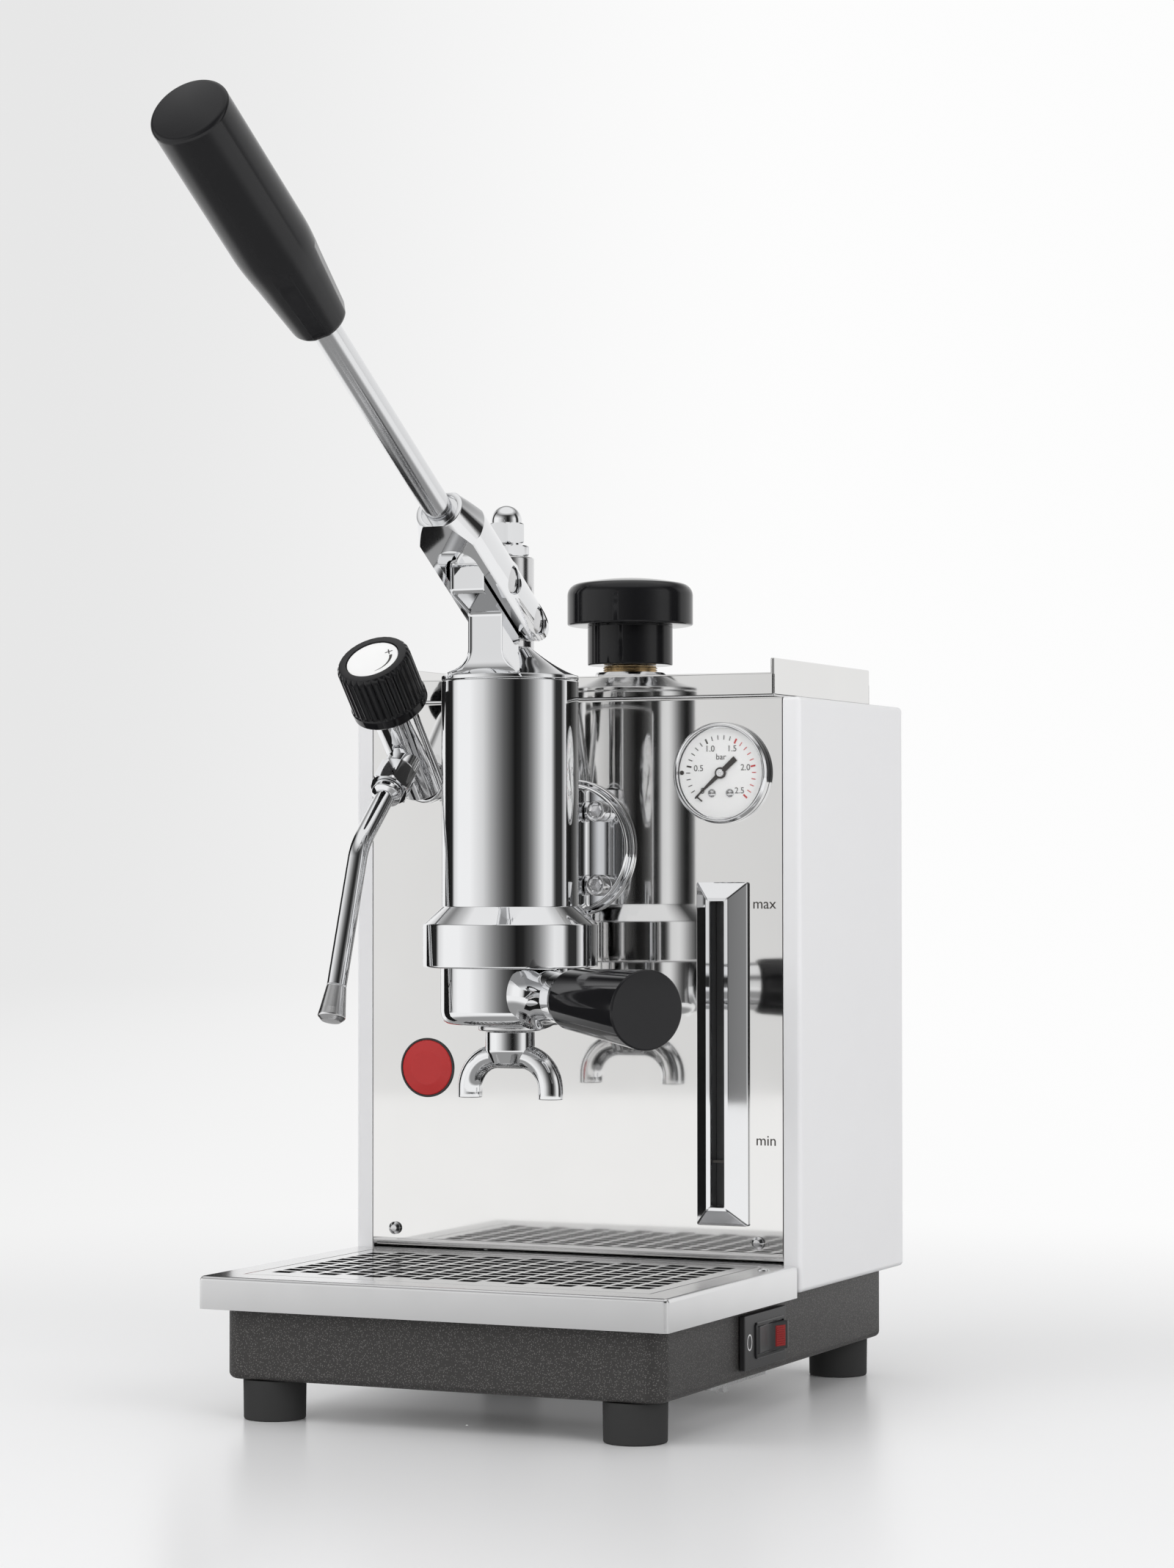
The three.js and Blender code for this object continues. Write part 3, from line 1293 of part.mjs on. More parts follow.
function addSteamValve() {
  const body = turned([[0, steamFoot], [steamRadius, steamFoot], [steamRadius, steamLength - nutRelief],
    [steamRadius - nutRelief, steamLength], [0, steamLength]], roundSides);
  const boss = barY(outletBossRadius, -outletBossReach, 0, 0, outletAlong, roundSides);
  const bore = post(stemRadius + fitGap, steamLength - stemBore, steamLength + cutRun, smallSides);
  const outlet = barY(wandRadius + fitGap, -outletBossReach - cutRun, -outletBossReach + wandCollarLength,
    0, outletAlong, smallSides);
  const tilted = placed(cut(join(body, boss), bore, outlet), steamFrame());
  const front = block([-bodyWidth, 0], [-trayReach, -fitGap], [0, bodyTop + steamLength]);
  const ring = barY(steamRingRadius, -steamRingReach, -fitGap, -sideColumnX, steamShankZ(), roundSides);
  const shank = barY(shankRadius, -steamRingReach * 2, shankLength, -sideColumnX, steamShankZ(), smallSides);
  add('steam_valve_body', join(tilted.intersect(front), ring, shank), chrome);
}

function addSteamKnob() {
  const holder = new THREE.Group();
  holder.applyMatrix4(steamFrame());
  machine.add(holder);
  const z0 = knobStart;
  const z1 = knobReach;
  const outline = outlineOf(Array.from({ length: knobFlutes * 2 }, (_, i) => {
    const angle = i * Math.PI / knobFlutes;
    const radius = i % 2 === 1 ? knobTopRadius - knobFluteDepth : knobTopRadius;
    return [radius * Math.cos(angle), radius * Math.sin(angle)];
  }));
  const grip = pulledUp(outline, z0 + knobBand / 2, z1 - knobCrown);
  const crownFoot = z1 - knobCrown * knobCrownShare;
  const fluteFloor = knobTopRadius - knobFluteDepth;
  const crown = turned([[0, crownFoot], [fluteFloor, crownFoot], [fluteFloor, z1 - knobCrown],
    [knobTopRadius - knobCrown, z1], [0, z1]], largeSides);
  const band = turned([[0, z0], [knobBandRadius - nutRelief, z0], [knobBandRadius, z0 + nutRelief],
    [knobBandRadius, z0 + knobBand], [0, z0 + knobBand]], largeSides);
  const stem = post(stemRadius, steamLength - stemBore + fitGap, z0 + knobLength / 2, smallSides);
  const skirt = post(steamRadius + knobGap, z0 - cutRun, steamLength + knobGap, roundSides);
  const seat = post(knobDiscRadius + fitGap, z1 - knobDiscDepth, z1 + cutRun, roundSides);
  add('steam_knob', join(cut(join(grip, crown, band), skirt, seat), stem), blackGloss, holder);
  const disc = post(knobDiscRadius, z1 - knobDiscDepth + fitGap, z1 - fitGap, roundSides);
  add('steam_knob_disc', disc, dialWhite, holder);
}

function addWand() {
  const holder = new THREE.Group();
  holder.applyMatrix4(steamFrame());
  machine.add(holder);
  const z = outletAlong;
  const nutStart = -outletBossReach - fitGap;
  const nutBore = barY(wandRadius + fitGap, nutStart - nutHeight - cutRun, nutStart + cutRun,
    0, z, smallSides);
  const nutAim = new THREE.Matrix4().makeTranslation(0, nutStart, z)
    .multiply(new THREE.Matrix4().makeRotationX(Math.PI / 2));
  const hex = placed(pulledUp(hexagon(nutAcross), 0, nutHeight), nutAim);
  add('wand_nut', cut(hex, nutBore), chrome, holder);

  const lean = rad(wandLeanDeg) + steamTilt;
  const knee = new THREE.Vector3(0, -wandBendReach, z);
  const lower = new THREE.Vector3(0, -Math.sin(lean), -Math.cos(lean));
  const start = new THREE.Vector3(0, -outletBossReach + wandCollarLength - fitGap, z);
  const end = knee.clone().addScaledVector(lower, wandLowerLength);
  const pipe = tube(bentPath([start, knee, end], wandBendRadius), wandRadius, smallSides, bendSteps * 4);
  const collarStart = nutStart - nutHeight - fitGap;
  const collar = barY(wandCollarRadius, collarStart - wandCollarLength, collarStart, 0, z, roundSides);
  add('steam_wand', join(pipe, collar), chrome, holder);

  const nozzle = turned([
    [0, 0], [tipRadius - tipRound, 0], [tipRadius, tipRound], [wandRadius, tipLength], [0, tipLength],
  ], roundSides);
  const foot = end.clone().addScaledVector(lower, tipLength + fitGap);
  const aim = new THREE.Matrix4().makeTranslation(foot.x, foot.y, foot.z)
    .multiply(new THREE.Matrix4().makeRotationX(-lean));
  add('wand_tip', placed(nozzle, aim), steel, holder);
}

// Instruments, each in a frame whose +Z faces the front
function instrumentFrame(x, z) {
  const frame = new THREE.Group();
  frame.position.set(x, 0, z);
  frame.rotation.x = Math.PI / 2;
  machine.add(frame);
  return frame;
}

function addGauge() {
  const frame = instrumentFrame(sideColumnX, gaugeZ);
  const wellRadius = gaugeRadius - gaugeRimWidth;
  const wellFloor = gaugeFloor / 2;
  const housing = turned([
    [0, -gaugeCaseDepth], [gaugeCaseRadius, -gaugeCaseDepth], [gaugeCaseRadius, fitGap],
    [gaugeRadius, fitGap], [gaugeRadius, gaugeRise - sheet], [gaugeRadius - gaugeRimWidth / 2, gaugeRise],
    [wellRadius, gaugeRise], [wellRadius, wellFloor], [0, wellFloor],
  ], largeSides);
  add('gauge_case', housing, chrome, frame);
  const dialTop = wellFloor + fitGap + dialThick;
  const dial = post(wellRadius - fitGap, wellFloor + fitGap, dialTop, largeSides);
  const spindle = post(spindleRadius, wellFloor + fitGap, dialTop + needleThick + fitGap, smallSides / 2);
  add('gauge_dial', join(dial, spindle), dialWhite, frame);
  const glassTop = gaugeRise - fitGap;
  add('gauge_glass', post(wellRadius - fitGap, glassTop - glassThick, glassTop, largeSides), glass, frame);
  const blade = outlineOf([[-needleWidth / 2, -needleTail], [needleWidth / 2, -needleTail],
    [needleWidth / 6, needleLength], [-needleWidth / 6, needleLength]]);
  const z0 = dialTop + fitGap;
  const hub = post(needleHub, z0, z0 + needleThick, smallSides);
  const eye = post(spindleRadius + fitGap, z0 - cutRun, z0 + cutRun, smallSides / 2);
  const turn = new THREE.Matrix4().makeRotationZ(rad(needleRestDeg));
  const needle = cut(join(pulledUp(blade, z0, z0 + needleThick), hub), eye);
  add('gauge_needle', placed(needle, turn), needleBlack, frame);
}

// Sight-glass housing: a bevelled frame in front, a block behind and a glass tube in its bore
function addSightGlass() {
  const middle = (sightTop + sightBottom) / 2;
  const half = (sightTop - sightBottom) / 2;
  const [w, f] = [sightWidth / 2, sightFaceWidth / 2];
  const bevelled = new THREE.BufferGeometry();
  const near = -sightRise;
  const far = -fitGap;
  const ring = (x, z, y) => [[-x, y, -z], [x, y, -z], [x, y, z], [-x, y, z]];
  const lip = far - sheet;
  const corners = [...ring(w, half, far), ...ring(w, half, lip), ...ring(f, half - sightBevel, near)];
  const sides = [0, 1].flatMap((level) => [0, 1, 2, 3].flatMap((i) => {
    const [a, b] = [level * 4 + i, level * 4 + (i + 1) % 4];
    return [a, b, b + 4, a, b + 4, a + 4];
  }));
  bevelled.setAttribute('position', new THREE.Float32BufferAttribute(corners.flat(), 3));
  bevelled.setIndex([...sides, 0, 2, 1, 0, 3, 2, 8, 9, 10, 8, 10, 11]);
  bevelled.translate(sideColumnX, 0, middle);
  const back = sightBackWidth / 2;
  const backBlock = block([sideColumnX - back, sideColumnX + back], [far - sheet / 2, sightBackDepth],
    [sightBottom + sightBackInset, sightTop - sightBackInset]);
  const tubeY = (sightBackDepth - sightTubeRadius) / 2;
  const bore = post(sightTubeRadius + fitGap, sightBottom + sightSlotInset - sightTubeInset,
    sightTop - sightSlotInset + sightTubeInset, roundSides, sideColumnX, tubeY);
  const slotHalf = sightSlotWidth / 2;
  const slot = block([sideColumnX - slotHalf, sideColumnX + slotHalf], [near - cutRun, tubeY],
    [sightBottom + sightSlotInset, sightTop - sightSlotInset]);
  add('sight_housing', cut(join(solidOf(bevelled), backBlock), bore, slot), chrome);
  add('sight_glass', post(sightTubeRadius, sightBottom + sightSlotInset - sightTubeInset + fitGap,
    sightTop - sightSlotInset + sightTubeInset - fitGap, roundSides, sideColumnX, tubeY), glass);
}

function addPilotLamp() {
  const frame = instrumentFrame(-sideColumnX, lampZ);
  const r = lampRadius - fitGap;
  const [domeOut, domeDown] = lampDomeShares;
  const lamp = turned([
    [0, -lampBodyDepth], [lampBodyRadius, -lampBodyDepth], [lampBodyRadius, -lampLens],
    [r, -lampLens], [r, -lampRecess - lampDome],
    [r * domeOut, -lampRecess - lampDome * domeDown], [0, -lampRecess],
  ], roundSides);
  add('pilot_lamp', lamp, redLens, frame);
}

function addPanelScrew(name, x) {
  const head = turned([
    [0, 0], [panelScrewRadius, 0], [panelScrewRadius, panelScrewHead / 2],
    [panelScrewRadius / 2, panelScrewHead], [0, panelScrewHead]], smallSides);
  const shank = post(panelScrewShank, -panelScrewLength, panelScrewHead / 2, smallSides);
  const frame = instrumentFrame(x, panelScrewZ);
  frame.position.y = -fitGap;
  add(name, join(head, shank), steel, frame);
}

// Switch in the base's right side
function rockerHalf() {
  return rockerLength / 2 + rockerPlay;
}

function switchBoxHalf() {
  return rockerHeight / 2 + rockerPlay + switchBoxWall;
}

function addSwitch() {
  const x0 = baseHalf + fitGap;
  const x1 = x0 + switchPlateThick;
  const middle = -switchY;
  const plate = block([x0, x1],
    [middle - switchPlateShift - switchPlateLength / 2, middle - switchPlateShift + switchPlateLength / 2],
    [switchZ - switchPlateHeight / 2, switchZ + switchPlateHeight / 2]);
  const boxHalf = rockerHalf() + switchBoxWall;
  const box = block([x0 - switchBoxDepth, x1 - switchPlateThick / 2], [middle - boxHalf, middle + boxHalf],
    [switchZ - switchBoxHalf(), switchZ + switchBoxHalf()]);
  const pivotX = x1 - rockerPivotDepth;
  const wellDepth = rockerDepth + rockerSwing;
  const well = block([pivotX - wellDepth, x1 + cutRun], [middle - rockerHalf(), middle + rockerHalf()],
    [switchZ - rockerHeight / 2 - rockerPlay, switchZ + rockerHeight / 2 + rockerPlay]);
  add('switch_housing', cut(join(plate, box), well), blackGloss);
  addRocker(pivotX, middle);
}

// The rocker turns about a vertical axis; its face dips in the middle
function addRocker(pivotX, middle) {
  const frame = new THREE.Group();
  frame.position.set(pivotX, middle, switchZ);
  frame.rotation.z = -rad(rockerTiltDeg);
  machine.add(frame);
  const half = rockerLength / 2;
  const end = half * rockerEndShare;
  const crest = half * rockerCrestShare;
  const outer = rockerPivotDepth + rockerProud / 2;
  const outline = outlineOf([
    [-rockerDepth, -half / 3], [-rockerDepth, half / 3], [0, end], [outer, end],
    [outer + rockerProud / 4, crest], [outer - rockerDip, 0], [outer + rockerProud / 4, -crest],
    [outer, -end], [0, -end],
  ]);
  add('power_rocker', pulledUp(outline, -rockerHeight / 2, rockerHeight / 2), blackGloss, frame);
}

// Power inlet in the rear sheet: a socket with three pins
function addInlet() {
  const y0 = bodyDepth + fitGap;
  const y1 = y0 + inletFlange;
  const slab = (halfWidth, halfHeight, ya, yb) => block([inletX - halfWidth, inletX + halfWidth], [ya, yb],
    [inletZ - halfHeight, inletZ + halfHeight]);
  const flange = slab(inletWidth / 2, inletHeight / 2, y0, y1);
  const body = slab(inletBodyWidth / 2, inletBodyHeight / 2, y1 - inletBodyDepth, y0 + inletFlange / 2);
  const well = slab(inletBodyWidth / 2 - inletWall, inletBodyHeight / 2 - inletWall,
    y1 - inletBodyDepth + inletWall, y1 + cutRun);
  const pins = [-1, 0, 1].map((side) => {
    const x = inletX + side * inletPinSpread;
    const z = inletZ + (side === 0 ? inletPinWidth : 0);
    return block([x - inletPinWidth / 2, x + inletPinWidth / 2],
      [y1 - inletBodyDepth + inletWall / 2, y1 - inletFlange],
      [z - inletPinHeight / 2, z + inletPinHeight / 2]);
  });
  add('power_inlet', join(cut(join(flange, body), well), ...pins), blackGloss);
}

// The whole machine
const footX = bodyWidth / 2 - baseSideInset - footSideInset;
addFoot('foot_front_left', -footX, baseFront + footFrontInset);
addFoot('foot_front_right', footX, baseFront + footFrontInset);
addFoot('foot_rear_left', -footX, baseBack - footBackInset);
addFoot('foot_rear_right', footX, baseBack - footBackInset);
addBase();
addBottomPlate();
addSidePanel('side_panel_left', -1);
addSidePanel('side_panel_right', 1);
addFrontPanel();
addRearPanel();
addTrayCover();
addGrille();
addBasin();
addCupTray();
addBoiler();
addHeatingElement();
addFiller();
addBoilerCap();
addSafetyValve();
addFlangeRing();
addGroupBody();
addFlangeBolts();
addGasketAndScreen();
addBonnet();
addPiston();
addPistonRod();
addSpring();
addLever();
addPortafilter();
addSteamValve();
addSteamKnob();
addWand();
addGauge();
addSightGlass();
addPilotLamp();
addPanelScrew('panel_screw_left', -panelScrewX);
addPanelScrew('panel_screw_right', panelScrewX);
addSwitch();
addInlet();

// Centred on its footprint, with its feet on the ground
const whole = new THREE.Group();
whole.add(machine);
const bounds = new THREE.Box3().setFromObject(whole, true);
const middle = bounds.getCenter(new THREE.Vector3());
machine.position.set(-middle.x, -middle.y, -bounds.min.z);

export default whole;
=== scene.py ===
"""A countertop lever espresso machine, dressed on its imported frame.

Sizes are in millimetres in the machine's own frame: x = 0 is the middle, y = 0 the front of the body, z = 0
the ground.
"""
import logging
import math
from dataclasses import dataclass, field
from enum import Enum
from functools import partial
from typing import Callable, Sequence

import bpy
import numpy as np
from mathutils import Matrix, Vector


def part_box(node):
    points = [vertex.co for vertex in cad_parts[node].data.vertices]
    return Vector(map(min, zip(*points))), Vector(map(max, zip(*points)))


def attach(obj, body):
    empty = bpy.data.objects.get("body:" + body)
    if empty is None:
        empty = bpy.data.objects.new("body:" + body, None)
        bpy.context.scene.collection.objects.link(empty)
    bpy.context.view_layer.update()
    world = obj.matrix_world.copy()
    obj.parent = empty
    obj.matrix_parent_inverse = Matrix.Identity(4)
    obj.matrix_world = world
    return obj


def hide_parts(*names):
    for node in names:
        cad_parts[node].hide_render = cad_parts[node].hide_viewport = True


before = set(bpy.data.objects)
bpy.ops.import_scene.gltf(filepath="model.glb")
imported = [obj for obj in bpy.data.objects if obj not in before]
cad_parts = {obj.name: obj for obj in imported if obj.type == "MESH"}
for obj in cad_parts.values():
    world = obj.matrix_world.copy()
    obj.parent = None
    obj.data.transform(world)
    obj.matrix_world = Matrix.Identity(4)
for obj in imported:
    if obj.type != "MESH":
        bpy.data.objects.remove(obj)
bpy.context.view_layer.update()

LOG = logging.getLogger("machine")
MM = 0.001
CREASE = math.radians(32)
SIDES = 96
ROUND_STEPS = 6
Array = np.ndarray


# Frames

def turn(axis: int, degrees: float) -> Array:
    """A right-handed turn about an axis, as the cosine and sine of the angle between the other two.

    Args:
        axis: 0, 1 or 2, for X, Y or Z.
        degrees: The angle.

    Returns:
        The 3 x 3 rotation.
    """
    c, s = math.cos(math.radians(degrees)), math.sin(math.radians(degrees))
    first, second = (axis + 1) % 3, (axis + 2) % 3
    matrix = np.eye(3)
    matrix[first, first] = matrix[second, second] = c
    matrix[second, first], matrix[first, second] = s, -s
    return matrix


turn_x, turn_y, turn_z = (partial(turn, axis) for axis in range(3))
# Carries a local X, Y and Z to the machine's Y, Z and X
SIDEWAYS = np.array([[0, 0, 1], [1, 0, 0], [0, 1, 0]], float)


@dataclass(frozen=True)
class Pose:
    """Where a sub-assembly's local frame stands in the machine's frame."""

    origin: tuple[float, float, float] = (0.0, 0.0, 0.0)
    turn: Array = field(default_factory=lambda: np.eye(3))

    def apply(self, points: Array) -> Array:
        """Local points in the machine's frame, as turn times point plus origin."""
        return points @ self.turn.T + np.array(self.origin)

    def within(self, origin: tuple[float, float, float], turn: Array) -> "Pose":
        """A child's pose, given in this one's frame."""
        return Pose(tuple(self.apply(np.array([origin]))[0]), self.turn @ turn)


def datum() -> Array:
    """The machine frame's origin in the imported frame, in millimetres, read from its side and front panels."""
    left, right, front = (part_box(name) for name in ("side_panel_left", "side_panel_right", "front_panel"))
    return np.array([(left[0][0] + right[1][0]) / 2, front[0][1], 0.0]) / MM


DATUM = datum()


# Surfaces

@dataclass
class Shell:
    """Points and faces of closed surfaces, in millimetres."""

    points: Array
    faces: list[tuple[int, ...]]

    def moved(self, *poses: Pose) -> "Shell":
        """The same shell with its points carried by one pose after another."""
        points = self.points
        for pose in poses:
            points = pose.apply(points)
        return Shell(points, self.faces)


def merged(*shells: Shell) -> Shell:
    """Several shells in one list of points and faces.

    Args:
        shells: The shells, each closed by itself.

    Returns:
        One shell that holds them all.
    """
    points, faces, offset = [], [], 0
    for shell in shells:
        points.append(shell.points)
        faces += [tuple(i + offset for i in f) for f in shell.faces]
        offset += len(shell.points)
    return Shell(np.vstack(points), faces)


def outward(points: Array, faces: list[tuple[int, ...]]) -> Shell:
    """A shell whose faces point outwards.

    Where the sum of a . (b x c) over fans of triangles, which is six times the volume, is negative, they
    are reversed.

    Args:
        points: Corner points.
        faces: Corner indices of each face.

    Returns:
        The shell.
    """
    fans = np.array([(f[0], f[i], f[i + 1]) for f in faces for i in range(1, len(f) - 1)])
    a, b, c = (points[fans[:, k]] for k in range(3))
    inwards = np.einsum("ij,ij->i", a, np.cross(b, c)).sum() < 0
    return Shell(points, [f[::-1] for f in faces] if inwards else faces)


def quads(index: Array, looped: bool = False) -> Array:
    """Faces between neighbouring rows of point numbers, where each row is a closed loop.

    Args:
        index: Rows of point numbers.
        looped: Join the last row to the first.

    Returns:
        Rows of four point numbers.
    """
    low = index if looped else index[:-1]
    high = np.roll(index, -1, axis=0) if looped else index[1:]
    return np.stack([low, np.roll(low, -1, 1), np.roll(high, -1, 1), high], -1).reshape(-1, 4)


def rings(loops: Array, fan: bool = True, looped: bool = False) -> Shell:
    """A surface through closed loops of equal count: point (i, j) is loop i's point j.

    Args:
        loops: Array of loops x points x 3.
        fan: Close the ends with a fan about their middle, otherwise with one flat face.
        looped: Join the last loop to the first instead of closing the ends.

    Returns:
        A closed shell whose faces point outwards.
    """
    count, size = loops.shape[:2]
    index = np.arange(count * size).reshape(count, size)
    faces = [tuple(q) for q in quads(index, looped).tolist()]
    points = loops.reshape(-1, 3)
    if not looped and fan:
        base = len(points)
        points = np.vstack([points, loops[0].mean(0), loops[-1].mean(0)])
        first, last = index[0].tolist(), index[-1].tolist()
        faces += [(base, b, a) for a, b in zip(first, first[1:] + first[:1])]
        faces += [(base + 1, a, b) for a, b in zip(last, last[1:] + last[:1])]
    elif not looped:
        faces += [tuple(index[0][::-1].tolist()), tuple(index[-1].tolist())]
    return outward(points, faces)


def softened(corners: Sequence[tuple[float, float, float]], steps: int = ROUND_STEPS) -> Array:
    """A polyline whose corners are rounded: each is replaced by an arc that touches both of its sides.

    Args:
        corners: Rows of first coordinate, second coordinate and radius.
        steps: Steps in each arc.

    Returns:
        The rounded line's points.
    """
    places = np.array([c[:2] for c in corners], float)
    out = [places[0]]
    for i in range(1, len(places) - 1):
        here, radius = places[i], corners[i][2]
        back, ahead = places[i - 1] - here, places[i + 1] - here
        reach_back, reach_ahead = np.linalg.norm(back), np.linalg.norm(ahead)
        if radius <= 0 or min(reach_back, reach_ahead) < 1e-9:
            out.append(here)
            continue
        back, ahead = back / reach_back, ahead / reach_ahead
        half = math.acos(float(np.clip(back @ ahead, -1, 1))) / 2
        if half > math.pi / 2 - 1e-3:
            out.append(here)
            continue
        setback = min(radius / math.tan(half), reach_back * 0.49, reach_ahead * 0.49)
        start, end = here + back * setback, here + ahead * setback
        share = np.linspace(0, 1, steps + 1)[:, None]
        out += list((1 - share) ** 2 * start + 2 * share * (1 - share) * here + share ** 2 * end)
    out.append(places[-1])
    return np.array(out)


def turned(corners: Sequence[tuple[float, float, float]], sides: int = SIDES) -> Shell:
    """A turned piece about Z: the rounded profile (r, z) is carried round to (r cos, r sin, z).

    Args:
        corners: Rows of radius, height and rounding, from axis to axis or closed on itself.
        sides: Steps round the axis.

    Returns:
        The closed shell.
    """
    line = softened(corners)
    looped = bool(np.allclose(line[0], line[-1])) and line[0][0] > 0
    line = line[:-1] if looped else line[line[:, 0] > 1e-6]
    angle = np.arange(sides) * 2 * math.pi / sides
    loops = np.stack([line[:, :1] * np.cos(angle), line[:, :1] * np.sin(angle),
                      np.repeat(line[:, 1:], sides, 1)], -1)
    return rings(loops, looped=looped)


def rod(radius: float, low: float, high: float, edges: tuple[float, float] = (0, 0),
        sides: int = SIDES) -> Shell:
    """A solid round bar about Z.

    Args:
        radius: Its radius.
        low: Lower height.
        high: Upper height.
        edges: Rounding of the lower and the upper edge.
        sides: Steps round the axis.

    Returns:
        The closed shell.
    """
    return turned([(0, low, 0), (radius, low, edges[0]), (radius, high, edges[1]), (0, high, 0)], sides)


def sleeve(inner: float, outer: float, low: float, high: float, edges: tuple[float, float],
           sides: int = SIDES) -> Shell:
    """A round sleeve about Z.

    Args:
        inner: Radius of its bore.
        outer: Its radius.
        low: Lower height.
        high: Upper height.
        edges: Rounding of the outer edge below and above.
        sides: Steps round the axis.

    Returns:
        The closed shell.
    """
    return turned([(inner, low, 0), (outer, low, edges[0]), (outer, high, edges[1]), (inner, high, 0),
                   (inner, low, 0)], sides)


def crown(radius: float, low: float, edge: float, rise: float) -> list[tuple[float, float, float]]:
    """Profile rows of a shallow dome with a rounded edge: height falls with the squared radius.

    Args:
        radius: Radius below the edge.
        low: Height at which the edge starts.
        edge: Radius of the edge.
        rise: Height of the dome over its edge.

    Returns:
        Rows of radius, height and no rounding, from the edge to the axis.
    """
    angle = np.linspace(0, math.pi / 2, 7)
    rim = [(radius - edge * (1 - math.cos(a)), low + edge * math.sin(a), 0.0) for a in angle]
    span = radius - edge
    dome = [(span * s, low + edge + rise * (1 - s * s), 0.0) for s in np.linspace(0.94, 0.04, 14)]
    return [*rim, *dome, (0.0, low + edge + rise, 0.0)]


def rectangle(half_x: float, half_y: float, radius: float, steps: int = ROUND_STEPS) -> Array:
    """A rounded rectangle about the origin: four quarter arcs joined by straight sides.

    Args:
        half_x: Half its width.
        half_y: Half its depth.
        radius: Corner radius.
        steps: Steps in each corner.

    Returns:
        The outline's points, anticlockwise.
    """
    quarter = np.linspace(0, math.pi / 2, steps + 1)
    arcs = []
    for k, (sx, sy) in enumerate(((1, 1), (-1, 1), (-1, -1), (1, -1))):
        angle = quarter + k * math.pi / 2
        centre = np.array([sx * (half_x - radius), sy * (half_y - radius)])
        arcs.append(centre + radius * np.stack([np.cos(angle), np.sin(angle)], -1))
    return np.vstack(arcs)


def polygon(radius: float, count: int, corners: int) -> Array:
    """A regular polygon with its points spread evenly by angle, so that it pairs with a circle's.

    Args:
        radius: Distance to the corners.
        count: Number of points.
        corners: Number of corners.

    Returns:
        The outline's points, anticlockwise.
    """
    angle = np.arange(count) * 2 * math.pi / count
    within = np.mod(angle, 2 * math.pi / corners) - math.pi / corners
    reach = radius * math.cos(math.pi / corners) / np.cos(within)
    return np.stack([reach * np.cos(angle), reach * np.sin(angle)], -1)


def stacked(levels: Sequence[tuple[Array, float]], fan: bool = True, looped: bool = False) -> Shell:
    """Outlines in x and y, one above the other, joined point by point.

    Args:
        levels: Rows of outline and height.
        fan: As in rings.
        looped: As in rings.

    Returns:
        The closed shell.
    """
    loops = np.array([np.column_stack([outline, np.full(len(outline), z)]) for outline, z in levels])
    return rings(loops, fan, looped)


def inset(outline: Array, amount: float) -> Array:
    """An outline moved inwards along the normals at its points.

    Args:
        outline: Points, anticlockwise.
        amount: Distance.

    Returns:
        The moved outline.
    """
    along = np.roll(outline, -1, 0) - np.roll(outline, 1, 0)
    along /= np.maximum(np.linalg.norm(along, axis=1, keepdims=True), 1e-9)
    return outline + amount * np.stack([-along[:, 1], along[:, 0]], -1)


def plate(outline: Array, low: float, high: float, edge: float, steps: int = 3) -> Shell:
    """A flat piece between two heights with quarter-round edges.

    Args:
        outline: Points in x and y, anticlockwise.
        low: Lower height.
        high: Upper height.
        edge: Radius of the edges.
        steps: Steps in each edge.

    Returns:
        The closed shell.
    """
    upper = eased(partial(inset, outline), edge, high, steps + 1)
    lower = [(level, low + high - z) for level, z in reversed(upper)]
    return stacked(lower + upper, fan=False)


def eased(loop: Callable[[float], Array], radius: float, end: float,
          count: int = 7) -> list[tuple[Array, float]]:
    """Levels of a quarter-round edge: the outline draws in as 1 - cos, and the height rises as sin does.

    Args:
        loop: Gives the outline, drawn in by a distance.
        radius: Radius of the edge, negative for an edge that faces down.
        end: Height of the edge's end.
        count: Number of levels.

    Returns:
        Rows of outline and height.
    """
    return [(loop(abs(radius) * (1 - math.cos(a))), end - radius * (1 - math.sin(a)))
            for a in np.linspace(0, math.pi / 2, count)]


def block(low: Sequence[float], high: Sequence[float], edge: float) -> Shell:
    """A box between its lowest and highest corner, with rounded edges.

    Args:
        low: Lowest corner.
        high: Highest corner.
        edge: Radius of the edges.

    Returns:
        The closed shell.
    """
    low, high = np.array(low, float), np.array(high, float)
    middle, half = (low + high) / 2, (high - low) / 2
    outline = rectangle(half[0], half[1], edge, 3) + middle[:2]
    return plate(outline, low[2], high[2], edge)


def bent_line(corners: Sequence[Sequence[float]], bend: float, steps: int = 14) -> Array:
    """Straight runs through the corners, each corner replaced by a true arc of one radius.

    Args:
        corners: The route's corner points.
        bend: Radius of each arc.
        steps: Steps in each arc.

    Returns:
        The route's points.
    """
    corners = [np.array(c, float) for c in corners]
    out = [corners[0]]
    for before, here, after in zip(corners, corners[1:], corners[2:]):
        back = (before - here) / np.linalg.norm(before - here)
        ahead = (after - here) / np.linalg.norm(after - here)
        half = math.acos(float(np.clip(back @ ahead, -1, 1))) / 2
        between = (back + ahead) / np.linalg.norm(back + ahead)
        centre = here + between * bend / math.sin(half)
        start = here + back * bend / math.tan(half) - centre
        end = here + ahead * bend / math.tan(half) - centre
        sweep = math.pi - 2 * half
        for share in np.linspace(0, 1, steps + 1):
            a, b = math.sin((1 - share) * sweep), math.sin(share * sweep)
            out.append(centre + (start * a + end * b) / math.sin(sweep))
    out.append(corners[-1])
    return np.array(out)


